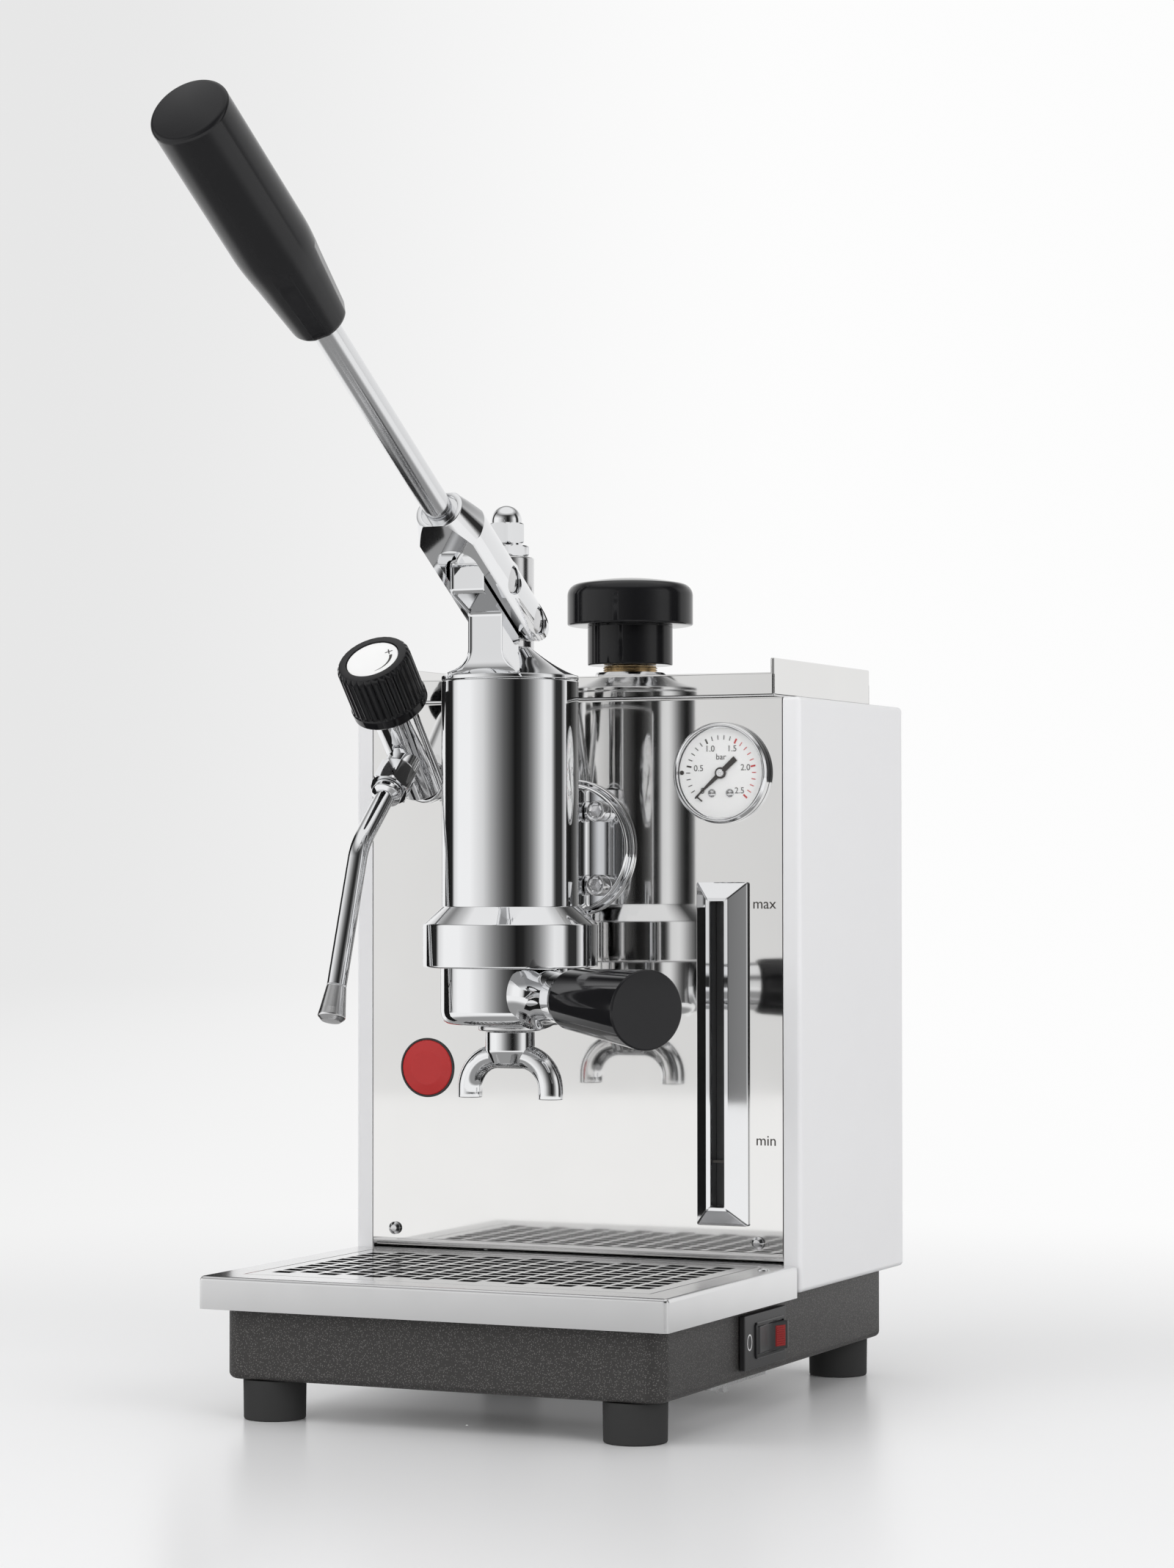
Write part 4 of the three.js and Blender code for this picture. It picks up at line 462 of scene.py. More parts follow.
def tube(route: Array, radius: float, sides: int) -> Shell:
    """A round bar along a route: each loop is a circle square to it, in a frame carried along without twist.

    Args:
        route: The centre line's points.
        radius: The bar's radius.
        sides: Steps round the bar.

    Returns:
        The closed shell.
    """
    along = np.gradient(route, axis=0)
    along /= np.linalg.norm(along, axis=1, keepdims=True)
    side = np.cross(along[0], [0.0, 0.0, 1.0] if abs(along[0][2]) < 0.9 else [1.0, 0.0, 0.0])
    frames = []
    for direction in along:
        side = side - direction * (side @ direction)
        side /= np.linalg.norm(side)
        frames.append((side, np.cross(direction, side)))
    first, second = np.array(frames).transpose(1, 0, 2)[:, :, None]
    angle = (np.arange(sides) * 2 * math.pi / sides)[None, :, None]
    return rings(route[:, None] + radius * (np.cos(angle) * first + np.sin(angle) * second))


# Shader nodes

Socket = bpy.types.NodeSocket
Tree = bpy.types.NodeTree


def wire(tree: Tree, node: bpy.types.Node, inputs: dict[int | str, object]) -> None:
    """Feeds a node: an input given as a socket is linked, and any other value is set.

    Args:
        tree: The node's tree.
        node: The node.
        inputs: Sockets or values by input.
    """
    for key, value in inputs.items():
        if isinstance(value, Socket):
            tree.links.new(value, node.inputs[key])
        else:
            node.inputs[key].default_value = value


def add(tree: Tree, kind: str, inputs: dict[int | str, object] | None = None,
        **settings: object) -> bpy.types.Node:
    """Adds a node.

    Args:
        tree: The tree that it goes into.
        kind: Its class name.
        inputs: As in wire.
        settings: Its properties, set before its inputs are fed.

    Returns:
        The node.
    """
    node = tree.nodes.new(kind)
    for key, value in settings.items():
        setattr(node, key, value)
    wire(tree, node, inputs or {})
    return node


def maths(tree: Tree, operation: str, first: Socket, second: Socket) -> Socket:
    """Two values under one operation."""
    return add(tree, "ShaderNodeMath", {0: first, 1: second}, operation=operation).outputs[0]


def blank(name: str) -> tuple[bpy.types.Material, Tree, bpy.types.Node]:
    """A new node material, with its tree and its shader."""
    material = bpy.data.materials.new(name)
    material.use_nodes = True
    return material, material.node_tree, material.node_tree.nodes["Principled BSDF"]


class Effect:
    """Node groups that several materials share, each built once."""

    built: dict[str, Tree] = {}

    @classmethod
    def group(cls, name: str, inputs: dict[str, float], make: Callable[[Tree, object], Socket]) -> Tree:
        """A named group with a Vector input and float ones, whose value is carried to its Low and High.

        Args:
            name: The group's name.
            inputs: Names and defaults of its float inputs, apart from Low and High.
            make: Given the tree and its inputs' sockets, adds the nodes and returns a value between 0 and 1.

        Returns:
            The node tree.
        """
        if name not in cls.built:
            tree = bpy.data.node_groups.new(name, "ShaderNodeTree")
            tree.interface.new_socket("Vector", in_out="INPUT", socket_type="NodeSocketVector")
            for key, value in {**inputs, "Low": 0.0, "High": 1.0}.items():
                tree.interface.new_socket(key, in_out="INPUT",
                                          socket_type="NodeSocketFloat").default_value = value
            tree.interface.new_socket("Value", in_out="OUTPUT", socket_type="NodeSocketFloat")
            enter = add(tree, "NodeGroupInput").outputs
            ranged = add(tree, "ShaderNodeMapRange",
                         {"Value": make(tree, enter), "To Min": enter["Low"], "To Max": enter["High"]})
            add(tree, "NodeGroupOutput", {"Value": ranged.outputs["Result"]})
            cls.built[name] = tree
        return cls.built[name]

    @classmethod
    def haze(cls) -> Tree:
        """Soft, slow patches, as handling and polishing leave."""
        def make(tree: Tree, enter: object) -> Socket:
            """Noise of the given scale."""
            noise = {"Vector": enter["Vector"], "Scale": enter["Scale"], "Detail": 4}
            return add(tree, "ShaderNodeTexNoise", noise).outputs["Fac"]
        return cls.group("haze", {"Scale": 60.0}, make)

    @classmethod
    def brushing(cls) -> Tree:
        """Fine straight lines along X."""
        def make(tree: Tree, enter: object) -> Socket:
            """Noise on a vector whose X is shortened by Stretch."""
            x, y, z = add(tree, "ShaderNodeSeparateXYZ", {0: enter["Vector"]}).outputs
            shorter = maths(tree, "DIVIDE", x, enter["Stretch"])
            place = add(tree, "ShaderNodeCombineXYZ", {"X": shorter, "Y": y, "Z": z}).outputs[0]
            return add(tree, "ShaderNodeTexNoise", {"Vector": place, "Scale": enter["Scale"]}).outputs["Fac"]
        return cls.group("brushing", {"Scale": 2500.0, "Stretch": 30.0}, make)

    @classmethod
    def flecks(cls) -> Tree:
        """Small scattered dots."""
        def make(tree: Tree, enter: object) -> Socket:
            """1 where the distance to the nearest of many cell centres is under Size."""
            cells = add(tree, "ShaderNodeTexVoronoi", {"Vector": enter["Vector"], "Scale": enter["Scale"]})
            return maths(tree, "LESS_THAN", cells.outputs["Distance"], enter["Size"])
        return cls.group("flecks", {"Scale": 900.0, "Size": 0.3}, make)


# Finishes

@dataclass(frozen=True)
class Finish:
    """A surface: its colour, shine and what varies over it, and a slot name for what it replaces."""

    name: str
    color: tuple[float, float, float]
    color_far: tuple[float, float, float]
    roughness: tuple[float, float]
    slot: str = ""
    metallic: float = 0.0
    coat: float = 0.0
    bump: float = 0.0
    grain: str = "haze"
    scale: float = 60.0
    transmission: float = 0.0
    alpha: float = 1.0
    tint: str = "haze"
    tint_scale: float = 40.0
    specular: float = 0.5

    def material(self) -> bpy.types.Material:
        """The finish as a node material, made once.

        Returns:
            The material.
        """
        made = bpy.data.materials.get(self.name)
        if made:
            return made
        material, tree, shader = blank(self.name)
        place = add(tree, "ShaderNodeTexCoord").outputs["Object"]
        share = self.placed(tree, place, self.tint, self.tint_scale, (0.0, 1.0))
        mix = add(tree, "ShaderNodeMix",
                  {"A": (*self.color, 1.0), "B": (*self.color_far, 1.0), "Factor": share},
                  data_type="RGBA")
        wire(tree, shader, {
            "Metallic": self.metallic, "Coat Weight": self.coat, "Transmission Weight": self.transmission,
            "Alpha": self.alpha, "Specular IOR Level": self.specular, "Base Color": mix.outputs["Result"],
            "Roughness": self.placed(tree, place, self.grain, self.scale, self.roughness)})
        if self.bump:
            height = self.placed(tree, place, self.grain, self.scale, (0.0, 1.0))
            bump = add(tree, "ShaderNodeBump", {"Strength": self.bump, "Distance": MM / 10, "Height": height})
            wire(tree, shader, {"Normal": bump.outputs["Normal"]})
        return material

    @staticmethod
    def placed(tree: Tree, place: Socket, effect: str, scale: float, span: tuple[float, float]) -> Socket:
        """An effect group in this material, with its own scale and range.

        Args:
            tree: The material's nodes.
            place: Socket of the coordinates.
            effect: Name of the Effect method.
            scale: Pattern scale.
            span: Low and high output.

        Returns:
            The effect's output socket.
        """
        inputs = {"Vector": place, "Scale": scale, "Low": span[0], "High": span[1]}
        return add(tree, "ShaderNodeGroup", inputs, node_tree=getattr(Effect, effect)()).outputs["Value"]


class Look(Enum):
    """Every finish on the machine."""

    CHROME = Finish("chrome_plate", (0.86, 0.865, 0.875), (0.83, 0.835, 0.845), (0.02, 0.05), "chrome", 1.0)
    MIRROR = Finish("mirror_sheet", (0.87, 0.865, 0.855), (0.84, 0.835, 0.825), (0.03, 0.07), "mirror_steel",
                    1.0)
    SATIN = Finish("satin_steel", (0.66, 0.66, 0.665), (0.60, 0.60, 0.605), (0.22, 0.36), "steel", 1.0,
                   grain="brushing", scale=2200.0, bump=0.04)
    BRIGHT = Finish("bright_steel", (0.74, 0.74, 0.745), (0.68, 0.68, 0.685), (0.10, 0.2), "steel", 1.0)
    WHITE = Finish("white_enamel", (0.79, 0.79, 0.80), (0.775, 0.775, 0.787), (0.28, 0.38), "white_paint",
                   coat=0.2, bump=0.02, scale=900.0)
    HAMMER = Finish("hammer_paint", (0.048, 0.046, 0.045), (0.15, 0.145, 0.14), (0.40, 0.52), "hammer_grey",
                    metallic=0.3, bump=0.35, scale=1100.0, tint="flecks", tint_scale=1500.0)
    GLOSS = Finish("gloss_black", (0.008, 0.008, 0.009), (0.012, 0.012, 0.013), (0.04, 0.08), "black_plastic",
                   specular=0.3)
    GRIP = Finish("smooth_black", (0.010, 0.010, 0.011), (0.013, 0.013, 0.014), (0.12, 0.17), "black_plastic",
                  specular=0.3)
    ROD = Finish("drawn_chrome", (0.80, 0.805, 0.815), (0.76, 0.765, 0.775), (0.13, 0.18), "chrome", 1.0)
    MOULDED = Finish("moulded_black", (0.018, 0.018, 0.019), (0.024, 0.024, 0.025), (0.28, 0.4),
                     "black_plastic", bump=0.08, scale=1800.0)
    RUBBER = Finish("rubber", (0.007, 0.007, 0.008), (0.010, 0.010, 0.011), (0.55, 0.72), "rubber", bump=0.15,
                    scale=1500.0, specular=0.12)
    RED = Finish("red_lens", (0.50, 0.030, 0.030), (0.43, 0.024, 0.024), (0.2, 0.3), "red_plastic",
                 specular=0.35)
    DIAL = Finish("dial_white", (0.90, 0.90, 0.895), (0.88, 0.88, 0.875), (0.5, 0.6), "white_plastic")
    INK = Finish("ink_dark", (0.045, 0.04, 0.038), (0.06, 0.055, 0.05), (0.5, 0.6), "needle_black")
    INK_RED = Finish("ink_red", (0.55, 0.03, 0.03), (0.5, 0.03, 0.03), (0.5, 0.6))
    INK_WHITE = Finish("ink_white", (0.75, 0.75, 0.75), (0.7, 0.7, 0.7), (0.5, 0.6))
    BRASS = Finish("turned_brass", (0.80, 0.67, 0.46), (0.72, 0.57, 0.37), (0.2, 0.34), "brass", 1.0)
    COPPER = Finish("copper_sheet", (0.72, 0.38, 0.25), (0.62, 0.3, 0.19), (0.25, 0.4), "copper", 1.0)
    SHEET = Finish("smooth_sheet", (0.84, 0.84, 0.845), (0.80, 0.80, 0.805), (0.20, 0.27), "steel", 1.0)
    BOLT = Finish("bolt_steel", (0.88, 0.88, 0.885), (0.80, 0.80, 0.805), (0.13, 0.19), "steel", 0.92)
    # Drip basin: steel painted near black, painted shade for the dark seen through the grille's holes
    WELL_SHADE = Finish("painted_shade_steel", (0.10, 0.10, 0.10), (0.07, 0.07, 0.07), (0.42, 0.55), "steel", 1.0)
    WINDOW = Finish("red_window", (0.27, 0.012, 0.012), (0.20, 0.009, 0.009), (0.16, 0.26), specular=0.4)
    GLASS = Finish("clear_glass", (0.98, 0.99, 0.99), (0.97, 0.98, 0.98), (0.0, 0.02), "glass",
                   transmission=1.0, alpha=0.07)


# Making pieces

def linked(name: str, data: object) -> bpy.types.Object:
    """A new object of a mesh, curve, lamp or camera, in the scene."""
    obj = bpy.data.objects.new(name, data)
    bpy.context.scene.collection.objects.link(obj)
    return obj


def meshed(name: str, points: Array, faces: Sequence[Sequence[int]]) -> bpy.types.Object:
    """A new mesh object in the scene.

    Args:
        name: The object's name.
        points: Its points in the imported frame, in metres.
        faces: Corner indices of each face.

    Returns:
        The object.
    """
    mesh = bpy.data.meshes.new(name)
    mesh.from_pydata([tuple(p) for p in points.tolist()], [], faces)
    return linked(name, mesh)


def evaluated(obj: bpy.types.Object) -> bpy.types.Mesh:
    """An object's mesh with its modifiers carried out."""
    bpy.context.view_layer.update()
    return bpy.data.meshes.new_from_object(obj.evaluated_get(bpy.context.evaluated_depsgraph_get()))


def dress_mesh(mesh: bpy.types.Mesh, look: Look) -> None:
    """Smooth faces with sharp creases, and one finish."""
    mesh.polygons.foreach_set("use_smooth", np.ones(len(mesh.polygons), bool))
    mesh.set_sharp_from_angle(angle=CREASE)
    mesh.materials.clear()
    mesh.materials.append(look.value.material())


def piece(name: str, shell: Shell, look: Look, node: str = "", body: str = "machine") -> None:
    """Puts a shell into the scene, dressed and riding on a body.

    Args:
        name: The piece's name.
        shell: Its surface in the machine's frame, in millimetres.
        look: Its finish.
        node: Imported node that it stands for.
        body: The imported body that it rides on.
    """
    obj = meshed(name, (shell.points + DATUM) * MM, shell.faces)
    obj.data.validate()
    dress_mesh(obj.data, look)
    obj.modifiers.new("face_weights", "WEIGHTED_NORMAL").keep_sharp = True
    settled(obj, look, node, body)


def settled(obj: bpy.types.Object, look: Look, node: str, body: str) -> None:
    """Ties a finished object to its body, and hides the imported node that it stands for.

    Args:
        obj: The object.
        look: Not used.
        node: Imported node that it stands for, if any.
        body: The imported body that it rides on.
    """
    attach(obj, body)
    if node:
        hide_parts(node)
    LOG.info("%s: %d faces on %s", obj.name, len(obj.data.polygons), body)


def dressed(node: str, look: Look) -> None:
    """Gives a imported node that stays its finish.

    Args:
        node: The node's name.
        look: The finish.
    """
    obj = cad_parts[node]
    material = look.value.material()
    if not obj.material_slots:
        obj.data.materials.append(material)
    for held in obj.material_slots:
        held.material = material


def carved(name: str, base: Shell, keep: Sequence[Shell], remove: Sequence[Shell], edge: float, look: Look,
           node: str, body: str = "machine") -> None:
    """A milled piece: a base, cut down to what it shares with some shells, with others taken out of it.

    Args:
        name: The piece's name.
        base: The blank.
        keep: Shells that it is intersected with.
        remove: Shells that are taken out of it.
        edge: Chamfer on its sharp edges.
        look: Its finish.
        node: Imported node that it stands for.
        body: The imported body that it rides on.
    """
    obj = meshed(name, (base.points + DATUM) * MM, base.faces)
    tools = []
    for operation, shells in (("INTERSECT", keep), ("DIFFERENCE", remove)):
        for shell in shells:
            tools.append(meshed(f"{name}_tool", (shell.points + DATUM) * MM, shell.faces))
            cut = obj.modifiers.new("cut", "BOOLEAN")
            cut.operation, cut.object, cut.solver = operation, tools[-1], "EXACT"
    result = evaluated(obj)
    obj.modifiers.clear()
    obj.data = result
    result.name = name
    for tool in tools:
        bpy.data.objects.remove(tool, do_unlink=True)
    dress_mesh(result, look)
    bevel = obj.modifiers.new("chamfer", "BEVEL")
    bevel.width, bevel.segments, bevel.limit_method = edge * MM, 2, "ANGLE"
    bevel.angle_limit = CREASE
    bevel.harden_normals = True
    settled(obj, look, node, body)


def lettering(name: str, words: str, size: float, centre: tuple[float, float], pose: Pose,
              lift: float) -> None:
    """Plain dark lettering, thick enough to be seen, made a mesh before it is placed.

    Args:
        name: The piece's name.
        words: What it says.
        size: Letter size.
        centre: Middle of the words in the pose's x and y.
        pose: The face's frame, whose +Z points out.
        lift: Height over the face.
    """
    curve = bpy.data.curves.new(name, "FONT")
    curve.body, curve.size, curve.extrude = words, size, 0.04
    curve.align_x, curve.align_y = "CENTER", "CENTER"
    draft = linked(name + "_draft", curve)
    mesh = evaluated(draft)
    bpy.data.objects.remove(draft, do_unlink=True)
    places = np.empty(len(mesh.vertices) * 3)
    mesh.vertices.foreach_get("co", places)
    places = places.reshape(-1, 3) + np.array([*centre, lift])
    mesh.vertices.foreach_set("co", ((pose.apply(places) + DATUM) * MM).ravel())
    mesh.materials.clear()
    mesh.materials.append(Look.INK.value.material())
    mesh.name = name
    settled(linked(name, mesh), Look.INK, "", "machine")


# The machine's sub-assemblies

@dataclass
class Base:
    """Feet and base pan."""

    foot_x: float = 76.8
    foot_front: float = -110.8
    foot_rear: float = 101.0
    foot_radius: float = 12.3
    foot_height: float = 15.7
    half: float = 93.0
    front: float = -124.0
    back: float = 114.0
    bottom: float = 16.0
    top: float = 45.0
    corner: float = 8.0
    bottom_round: float = 2.5
    wall: float = 2.5

    def build(self) -> None:
        """Makes the feet and the pan."""
        for end, y in (("front", self.foot_front), ("rear", self.foot_rear)):
            for side, x in (("left", -self.foot_x), ("right", self.foot_x)):
                foot = turned([(0, 0, 0), (self.foot_radius - 0.2, 0, 0.9),
                               (self.foot_radius, self.foot_height, 0.5),
                               (0, self.foot_height, 0)]).moved(Pose((x, y, 0)))
                piece(f"rubber_foot_{end}_{side}", foot, Look.RUBBER, f"foot_{end}_{side}")
        self.pan()
        dressed("bottom_plate", Look.SATIN)

    def pan(self) -> None:
        """The pan: rounded-rectangle loops up the inside, over the rim, down and under its round edge."""
        middle, depth = (self.front + self.back) / 2, (self.back - self.front) / 2

        def loop(drawn: float) -> Array:
            """The pan's outline, drawn in."""
            return rectangle(self.half - drawn, depth - drawn,
                             max(self.corner - drawn, 1.0)) + np.array([0, middle])

        levels = [(loop(self.wall), self.bottom + self.wall), (loop(self.wall), self.top),
                  (loop(0), self.top), *eased(loop, -self.bottom_round, self.bottom)]
        piece("hammered_pan", stacked(levels, fan=False), Look.HAMMER, "base_pan")


@dataclass
class Housing:
    """Side, front and rear sheets."""

    half: float = 100.0
    depth: float = 119.0
    bottom: float = 45.3
    top: float = 282.6
    flange: float = 7.6
    round: float = 2.0
    sheet: float = 1.2
    panel_half: float = 92.0
    panel_low: float = 56.6
    panel_bend: float = 4.0
    panel_foot: float = 8.0
    panel_cap: float = 10.0
    lid: float = 86.8

    def build(self) -> None:
        """Makes the panels; each side's lid runs in below the cup tray."""
        for name, side in (("left", -1), ("right", 1)):
            low, high = sorted((side * self.lid, side * (self.half - self.flange + 0.2)))
            strip = block([low, self.panel_cap + 0.4, self.top - self.sheet],
                          [high, self.depth - 1.5, self.top - 0.05], 0.2)
            piece(f"white_side_{name}", merged(self.side(side), strip), Look.WHITE, f"side_panel_{name}")
        piece("polished_front", self.front(), Look.MIRROR, "front_panel")
        dressed("rear_panel", Look.WHITE)

    def side(self, side: int) -> Shell:
        """A pressed side, whose loops run from inner to outer face round the flange's edge and the bend.

        Args:
            side: 1 for the right one, -1 for the left one.

        Returns:
            The closed shell.
        """
        rise, reach, inner = (self.top - self.bottom) / 2, self.depth / 2, self.half - self.sheet

        def loop(drawn: float) -> Array:
            """The panel's outline seen from the side, drawn in."""
            return rectangle(reach - drawn, rise - drawn, max(self.round - drawn, 0.4))

        levels = [(loop(self.sheet + 0.6), inner), (loop(self.sheet), inner - 0.6),
                  (loop(self.sheet), self.half - self.flange), (loop(0), self.half - self.flange),
                  *eased(loop, self.round, self.half, 8)]
        shell = stacked(levels, fan=False).moved(Pose((0, reach, (self.top + self.bottom) / 2), SIDEWAYS))
        return outward(shell.points * [side, 1, 1], shell.faces)

    def front(self) -> Shell:
        """The front sheet: its folded section is carried straight along X."""
        low, top, t = self.panel_low, self.top, self.sheet
        section = softened([
            (self.panel_foot, low, 0), (0, low, self.panel_bend), (0, top, 0.8), (self.panel_cap, top, 0),
            (self.panel_cap, top - t, 0), (t, top - t, 0.2), (t, low + t, self.panel_bend - t),
            (self.panel_foot, low + t, 0)], 16)
        loops = np.array([np.column_stack([np.full(len(section), x), section]) for x in
                          (-self.panel_half, self.panel_half)])
        return rings(loops, fan=False)


@dataclass
class Tray:
    """Drip tray and cup tray."""

    half: float = 99.1
    reach: float = 132.0
    back: float = 1.0
    top: float = 56.3
    skirt: float = 12.7
    corner: float = 2.0
    edge: float = 1.6
    sheet: float = 1.2
    window_half: float = 86.1
    window_front: float = -118.0
    window_back: float = -10.0
    ledge: float = 3.0
    tongue_half: float = 91.8
    tongue_back: float = 6.0
    screw_spot: tuple[float, float] = (92.8, -23.0)
    shelf_low: float = 282.9
    shelf_half: float = 88.2
    shelf_front: float = 1.0
    shelf_back: float = 110.4
    shelf_holes: tuple[tuple[float, float, float], ...] = ((0.0, 58.0, 12.65), (-47.0, 35.0, 7.3))
    rail: float = 1.6
    rail_side: float = 15.5
    rail_end: float = 9.6

    def build(self) -> None:
        """Makes the cover, whose tongue runs in under the front sheet's round foot, and the cup tray."""
        tongue = block([-self.tongue_half, -self.back - 0.2, self.top - self.sheet],
                       [self.tongue_half, self.tongue_back, self.top - 0.05], 0.1)
        screw = turned([(0, -0.5, 0), (2.4, -0.5, 0), (2.4, 0.4, 0.2), (1.2, 1.0, 0.6), (0, 1.0, 0)], 32)
        screw = screw.moved(Pose((*self.screw_spot, self.top)))
        piece("tray_top", merged(self.cover(), screw, tongue), Look.SHEET, "tray_cover")
        dressed("drip_grille", Look.BRIGHT)
        # The basin's near-black steel is painted shade below the grille
        dressed("drip_basin", Look.WELL_SHADE)
        self.shelf()

    def shelf(self) -> None:
        """The cup tray: a floor with its two holes, and the rounded rails round it."""
        low, half, y0, y1 = self.shelf_low, self.shelf_half, self.shelf_front, self.shelf_back
        holes = [rod(radius, low - 3, low + 4).moved(Pose((x, y, 0))) for x, y, radius in self.shelf_holes]
        floor = block([-half, y0, low], [half, y1, low + self.sheet], 0.2)
        carved("cup_shelf", floor, [], holes, 0.12, Look.SHEET, "cup_tray")
        spans = [(-half, -half + self.rail, y0, y1, self.rail_side),
                 (half - self.rail, half, y0, y1, self.rail_side),
                 (-half, half, y0, y0 + self.rail, self.rail_end),
                 (-half, half, y1 - self.rail, y1, self.rail_end)]
        rails = [block([x0, front, low], [x1, back, low + rise], 0.7) for x0, x1, front, back, rise in spans]
        piece("cup_rails", merged(*rails), Look.MIRROR)

    def cover(self) -> Shell:
        """The cover: loops run up the skirt, over a round edge, in to the window, to its ledge and back."""
        middle, depth = -(self.reach + self.back) / 2, (self.reach - self.back) / 2
        window_middle = (self.window_front + self.window_back) / 2
        window_depth = (self.window_back - self.window_front) / 2

        def outer(drawn: float) -> Array:
            """The cover's outline, drawn in."""
            return rectangle(self.half - drawn, depth - drawn,
                             max(self.corner - drawn, 0.3)) + np.array([0, middle])

        def window(drawn: float) -> Array:
            """The window's outline, drawn in."""
            return rectangle(self.window_half - drawn, window_depth - drawn,
                             0.3) + np.array([0, window_middle])

        ledge = [(-0.5, 0), (0, 0.5), (0, 1.5), (self.ledge, 1.5), (self.ledge, 2.7), (-self.sheet, 2.7),
                 (-self.sheet, self.sheet)]
        levels = [(outer(0), self.top - self.skirt), *eased(outer, self.edge, self.top),
                  *[(window(drawn), self.top - down) for drawn, down in ledge],
                  (outer(self.sheet), self.top - self.sheet), (outer(self.sheet), self.top - self.skirt)]
        return stacked(levels, looped=True)


@dataclass
class BoilerTop:
    """Cap, filler neck and safety valve."""

    cap_y: float = 58.0
    cap_low: float = 299.8
    cap_stem: float = 16.6
    cap_height: float = 34.1
    filler_low: float = 262.3
    filler_radius: float = 11.6
    hex_low: float = 286.1
    hex_corner: float = 16.74
    valve_x: float = -47.0
    valve_y: float = 35.0
    valve_foot: float = 262.4
    valve_low: float = 284.4
    valve_height: float = 61.0
    dome: float = 6.6

    def build(self) -> None:
        """Makes the pieces that stand on the top tray, and dresses the boiler."""
        low, rim, top = self.cap_low, self.cap_low + self.cap_stem, self.cap_low + self.cap_height
        shoulder = [(21.4 + 5.2 * math.cos(a), top - 4.6 + 5.2 * math.sin(a), 0.0)
                    for a in np.radians(np.linspace(0, 78, 12))]
        span, high, _ = shoulder[-1]
        dome = [(span * s, high + 2.4 * (1 - s * s), 0.0) for s in np.linspace(0.95, 0.04, 14)]
        cap = turned([(0, low, 0), (18, low, 0.6), (18, rim, 0.3), (24.6, rim, 0), (26.6, rim + 0.4, 1.0),
                      *shoulder, *dome, (0, high + 2.4, 0)], 128)
        piece("cap_knob", cap.moved(Pose((0, self.cap_y, 0))), Look.GLOSS, "boiler_cap", "cap")
        self.filler()
        self.valve()
        dressed("boiler", Look.COPPER)
        dressed("heating_element", Look.SATIN)

    def filler(self) -> None:
        """Threaded neck, whose profile is a run of small ridges, and its hex nut."""
        low, high, radius = self.filler_low, self.cap_low - 0.3, self.filler_radius
        ridges = [(radius if k % 2 else radius - 0.7, high - 0.4 - 0.5 * k, 0.1) for k in range(8)]
        neck = turned([(8, low, 0), (8, high, 0), (11.2, high, 0.2), *ridges, (radius, high - 5.4, 0),
                       (radius, low, 0), (8, low, 0)])
        spot = Pose((0, self.cap_y, 0))
        piece("filler_thread", neck.moved(spot), Look.BRASS, "filler_neck")
        nut = self.nut(self.hex_corner, self.hex_low, self.cap_low - 3.2, radius + 0.2)
        piece("filler_hex", nut.moved(spot), Look.BRIGHT)

    @staticmethod
    def nut(corner: float, low: float, high: float, bore: float) -> Shell:
        """A hex nut whose corners are turned off at both ends.

        Args:
            corner: Distance to its corners.
            low: Lower height.
            high: Upper height.
            bore: Radius of its bore.

        Returns:
            The closed shell.
        """
        flat = corner * math.cos(math.pi / 6)
        hexagon = polygon(corner, SIDES, 6)
        held = hexagon * np.minimum(1, (flat + 0.25) / np.linalg.norm(hexagon, axis=1, keepdims=True))
        ring = polygon(bore, SIDES, SIDES)
        fall = (corner - flat) * 0.5
        return stacked([(ring, low), (held, low), (hexagon, low + fall), (hexagon, high - fall), (held, high),
                        (ring, high)], looped=True)

    def valve(self) -> None:
        """The safety valve's body, its two nuts and its dome."""
        pose = Pose((self.valve_x, self.valve_y, 0))
        foot, low, high = self.valve_foot, self.valve_low, self.valve_low + self.valve_height
        body = turned([(0, foot, 0), (7, foot, 0), (7, low, 0), (11.7, low, 1.0), (11.7, high, 1.0),
                       (0, high, 0)])
        piece("valve_barrel", body.moved(pose), Look.BRIGHT, "safety_valve_body")
        first = high + 0.3
        second, dome = first + 5.6, first + 14.2
        arc = [(self.dome * math.cos(a), dome + 1 + self.dome * math.sin(a), 0)
               for a in np.linspace(0, math.pi / 2, 14)[:-1]]
        acorn = turned([(0, dome - 1, 0), (self.dome, dome - 1, 0), *arc, (0, dome + 1 + self.dome, 0)])
        nuts = merged(self.nut(10.6, first, first + 4.6, 5.0), rod(self.dome, first + 2, second + 1),
                      self.nut(8.2, second, dome, 5.0), acorn)
        piece("valve_acorn", nuts.moved(pose), Look.CHROME, "safety_valve_nuts")


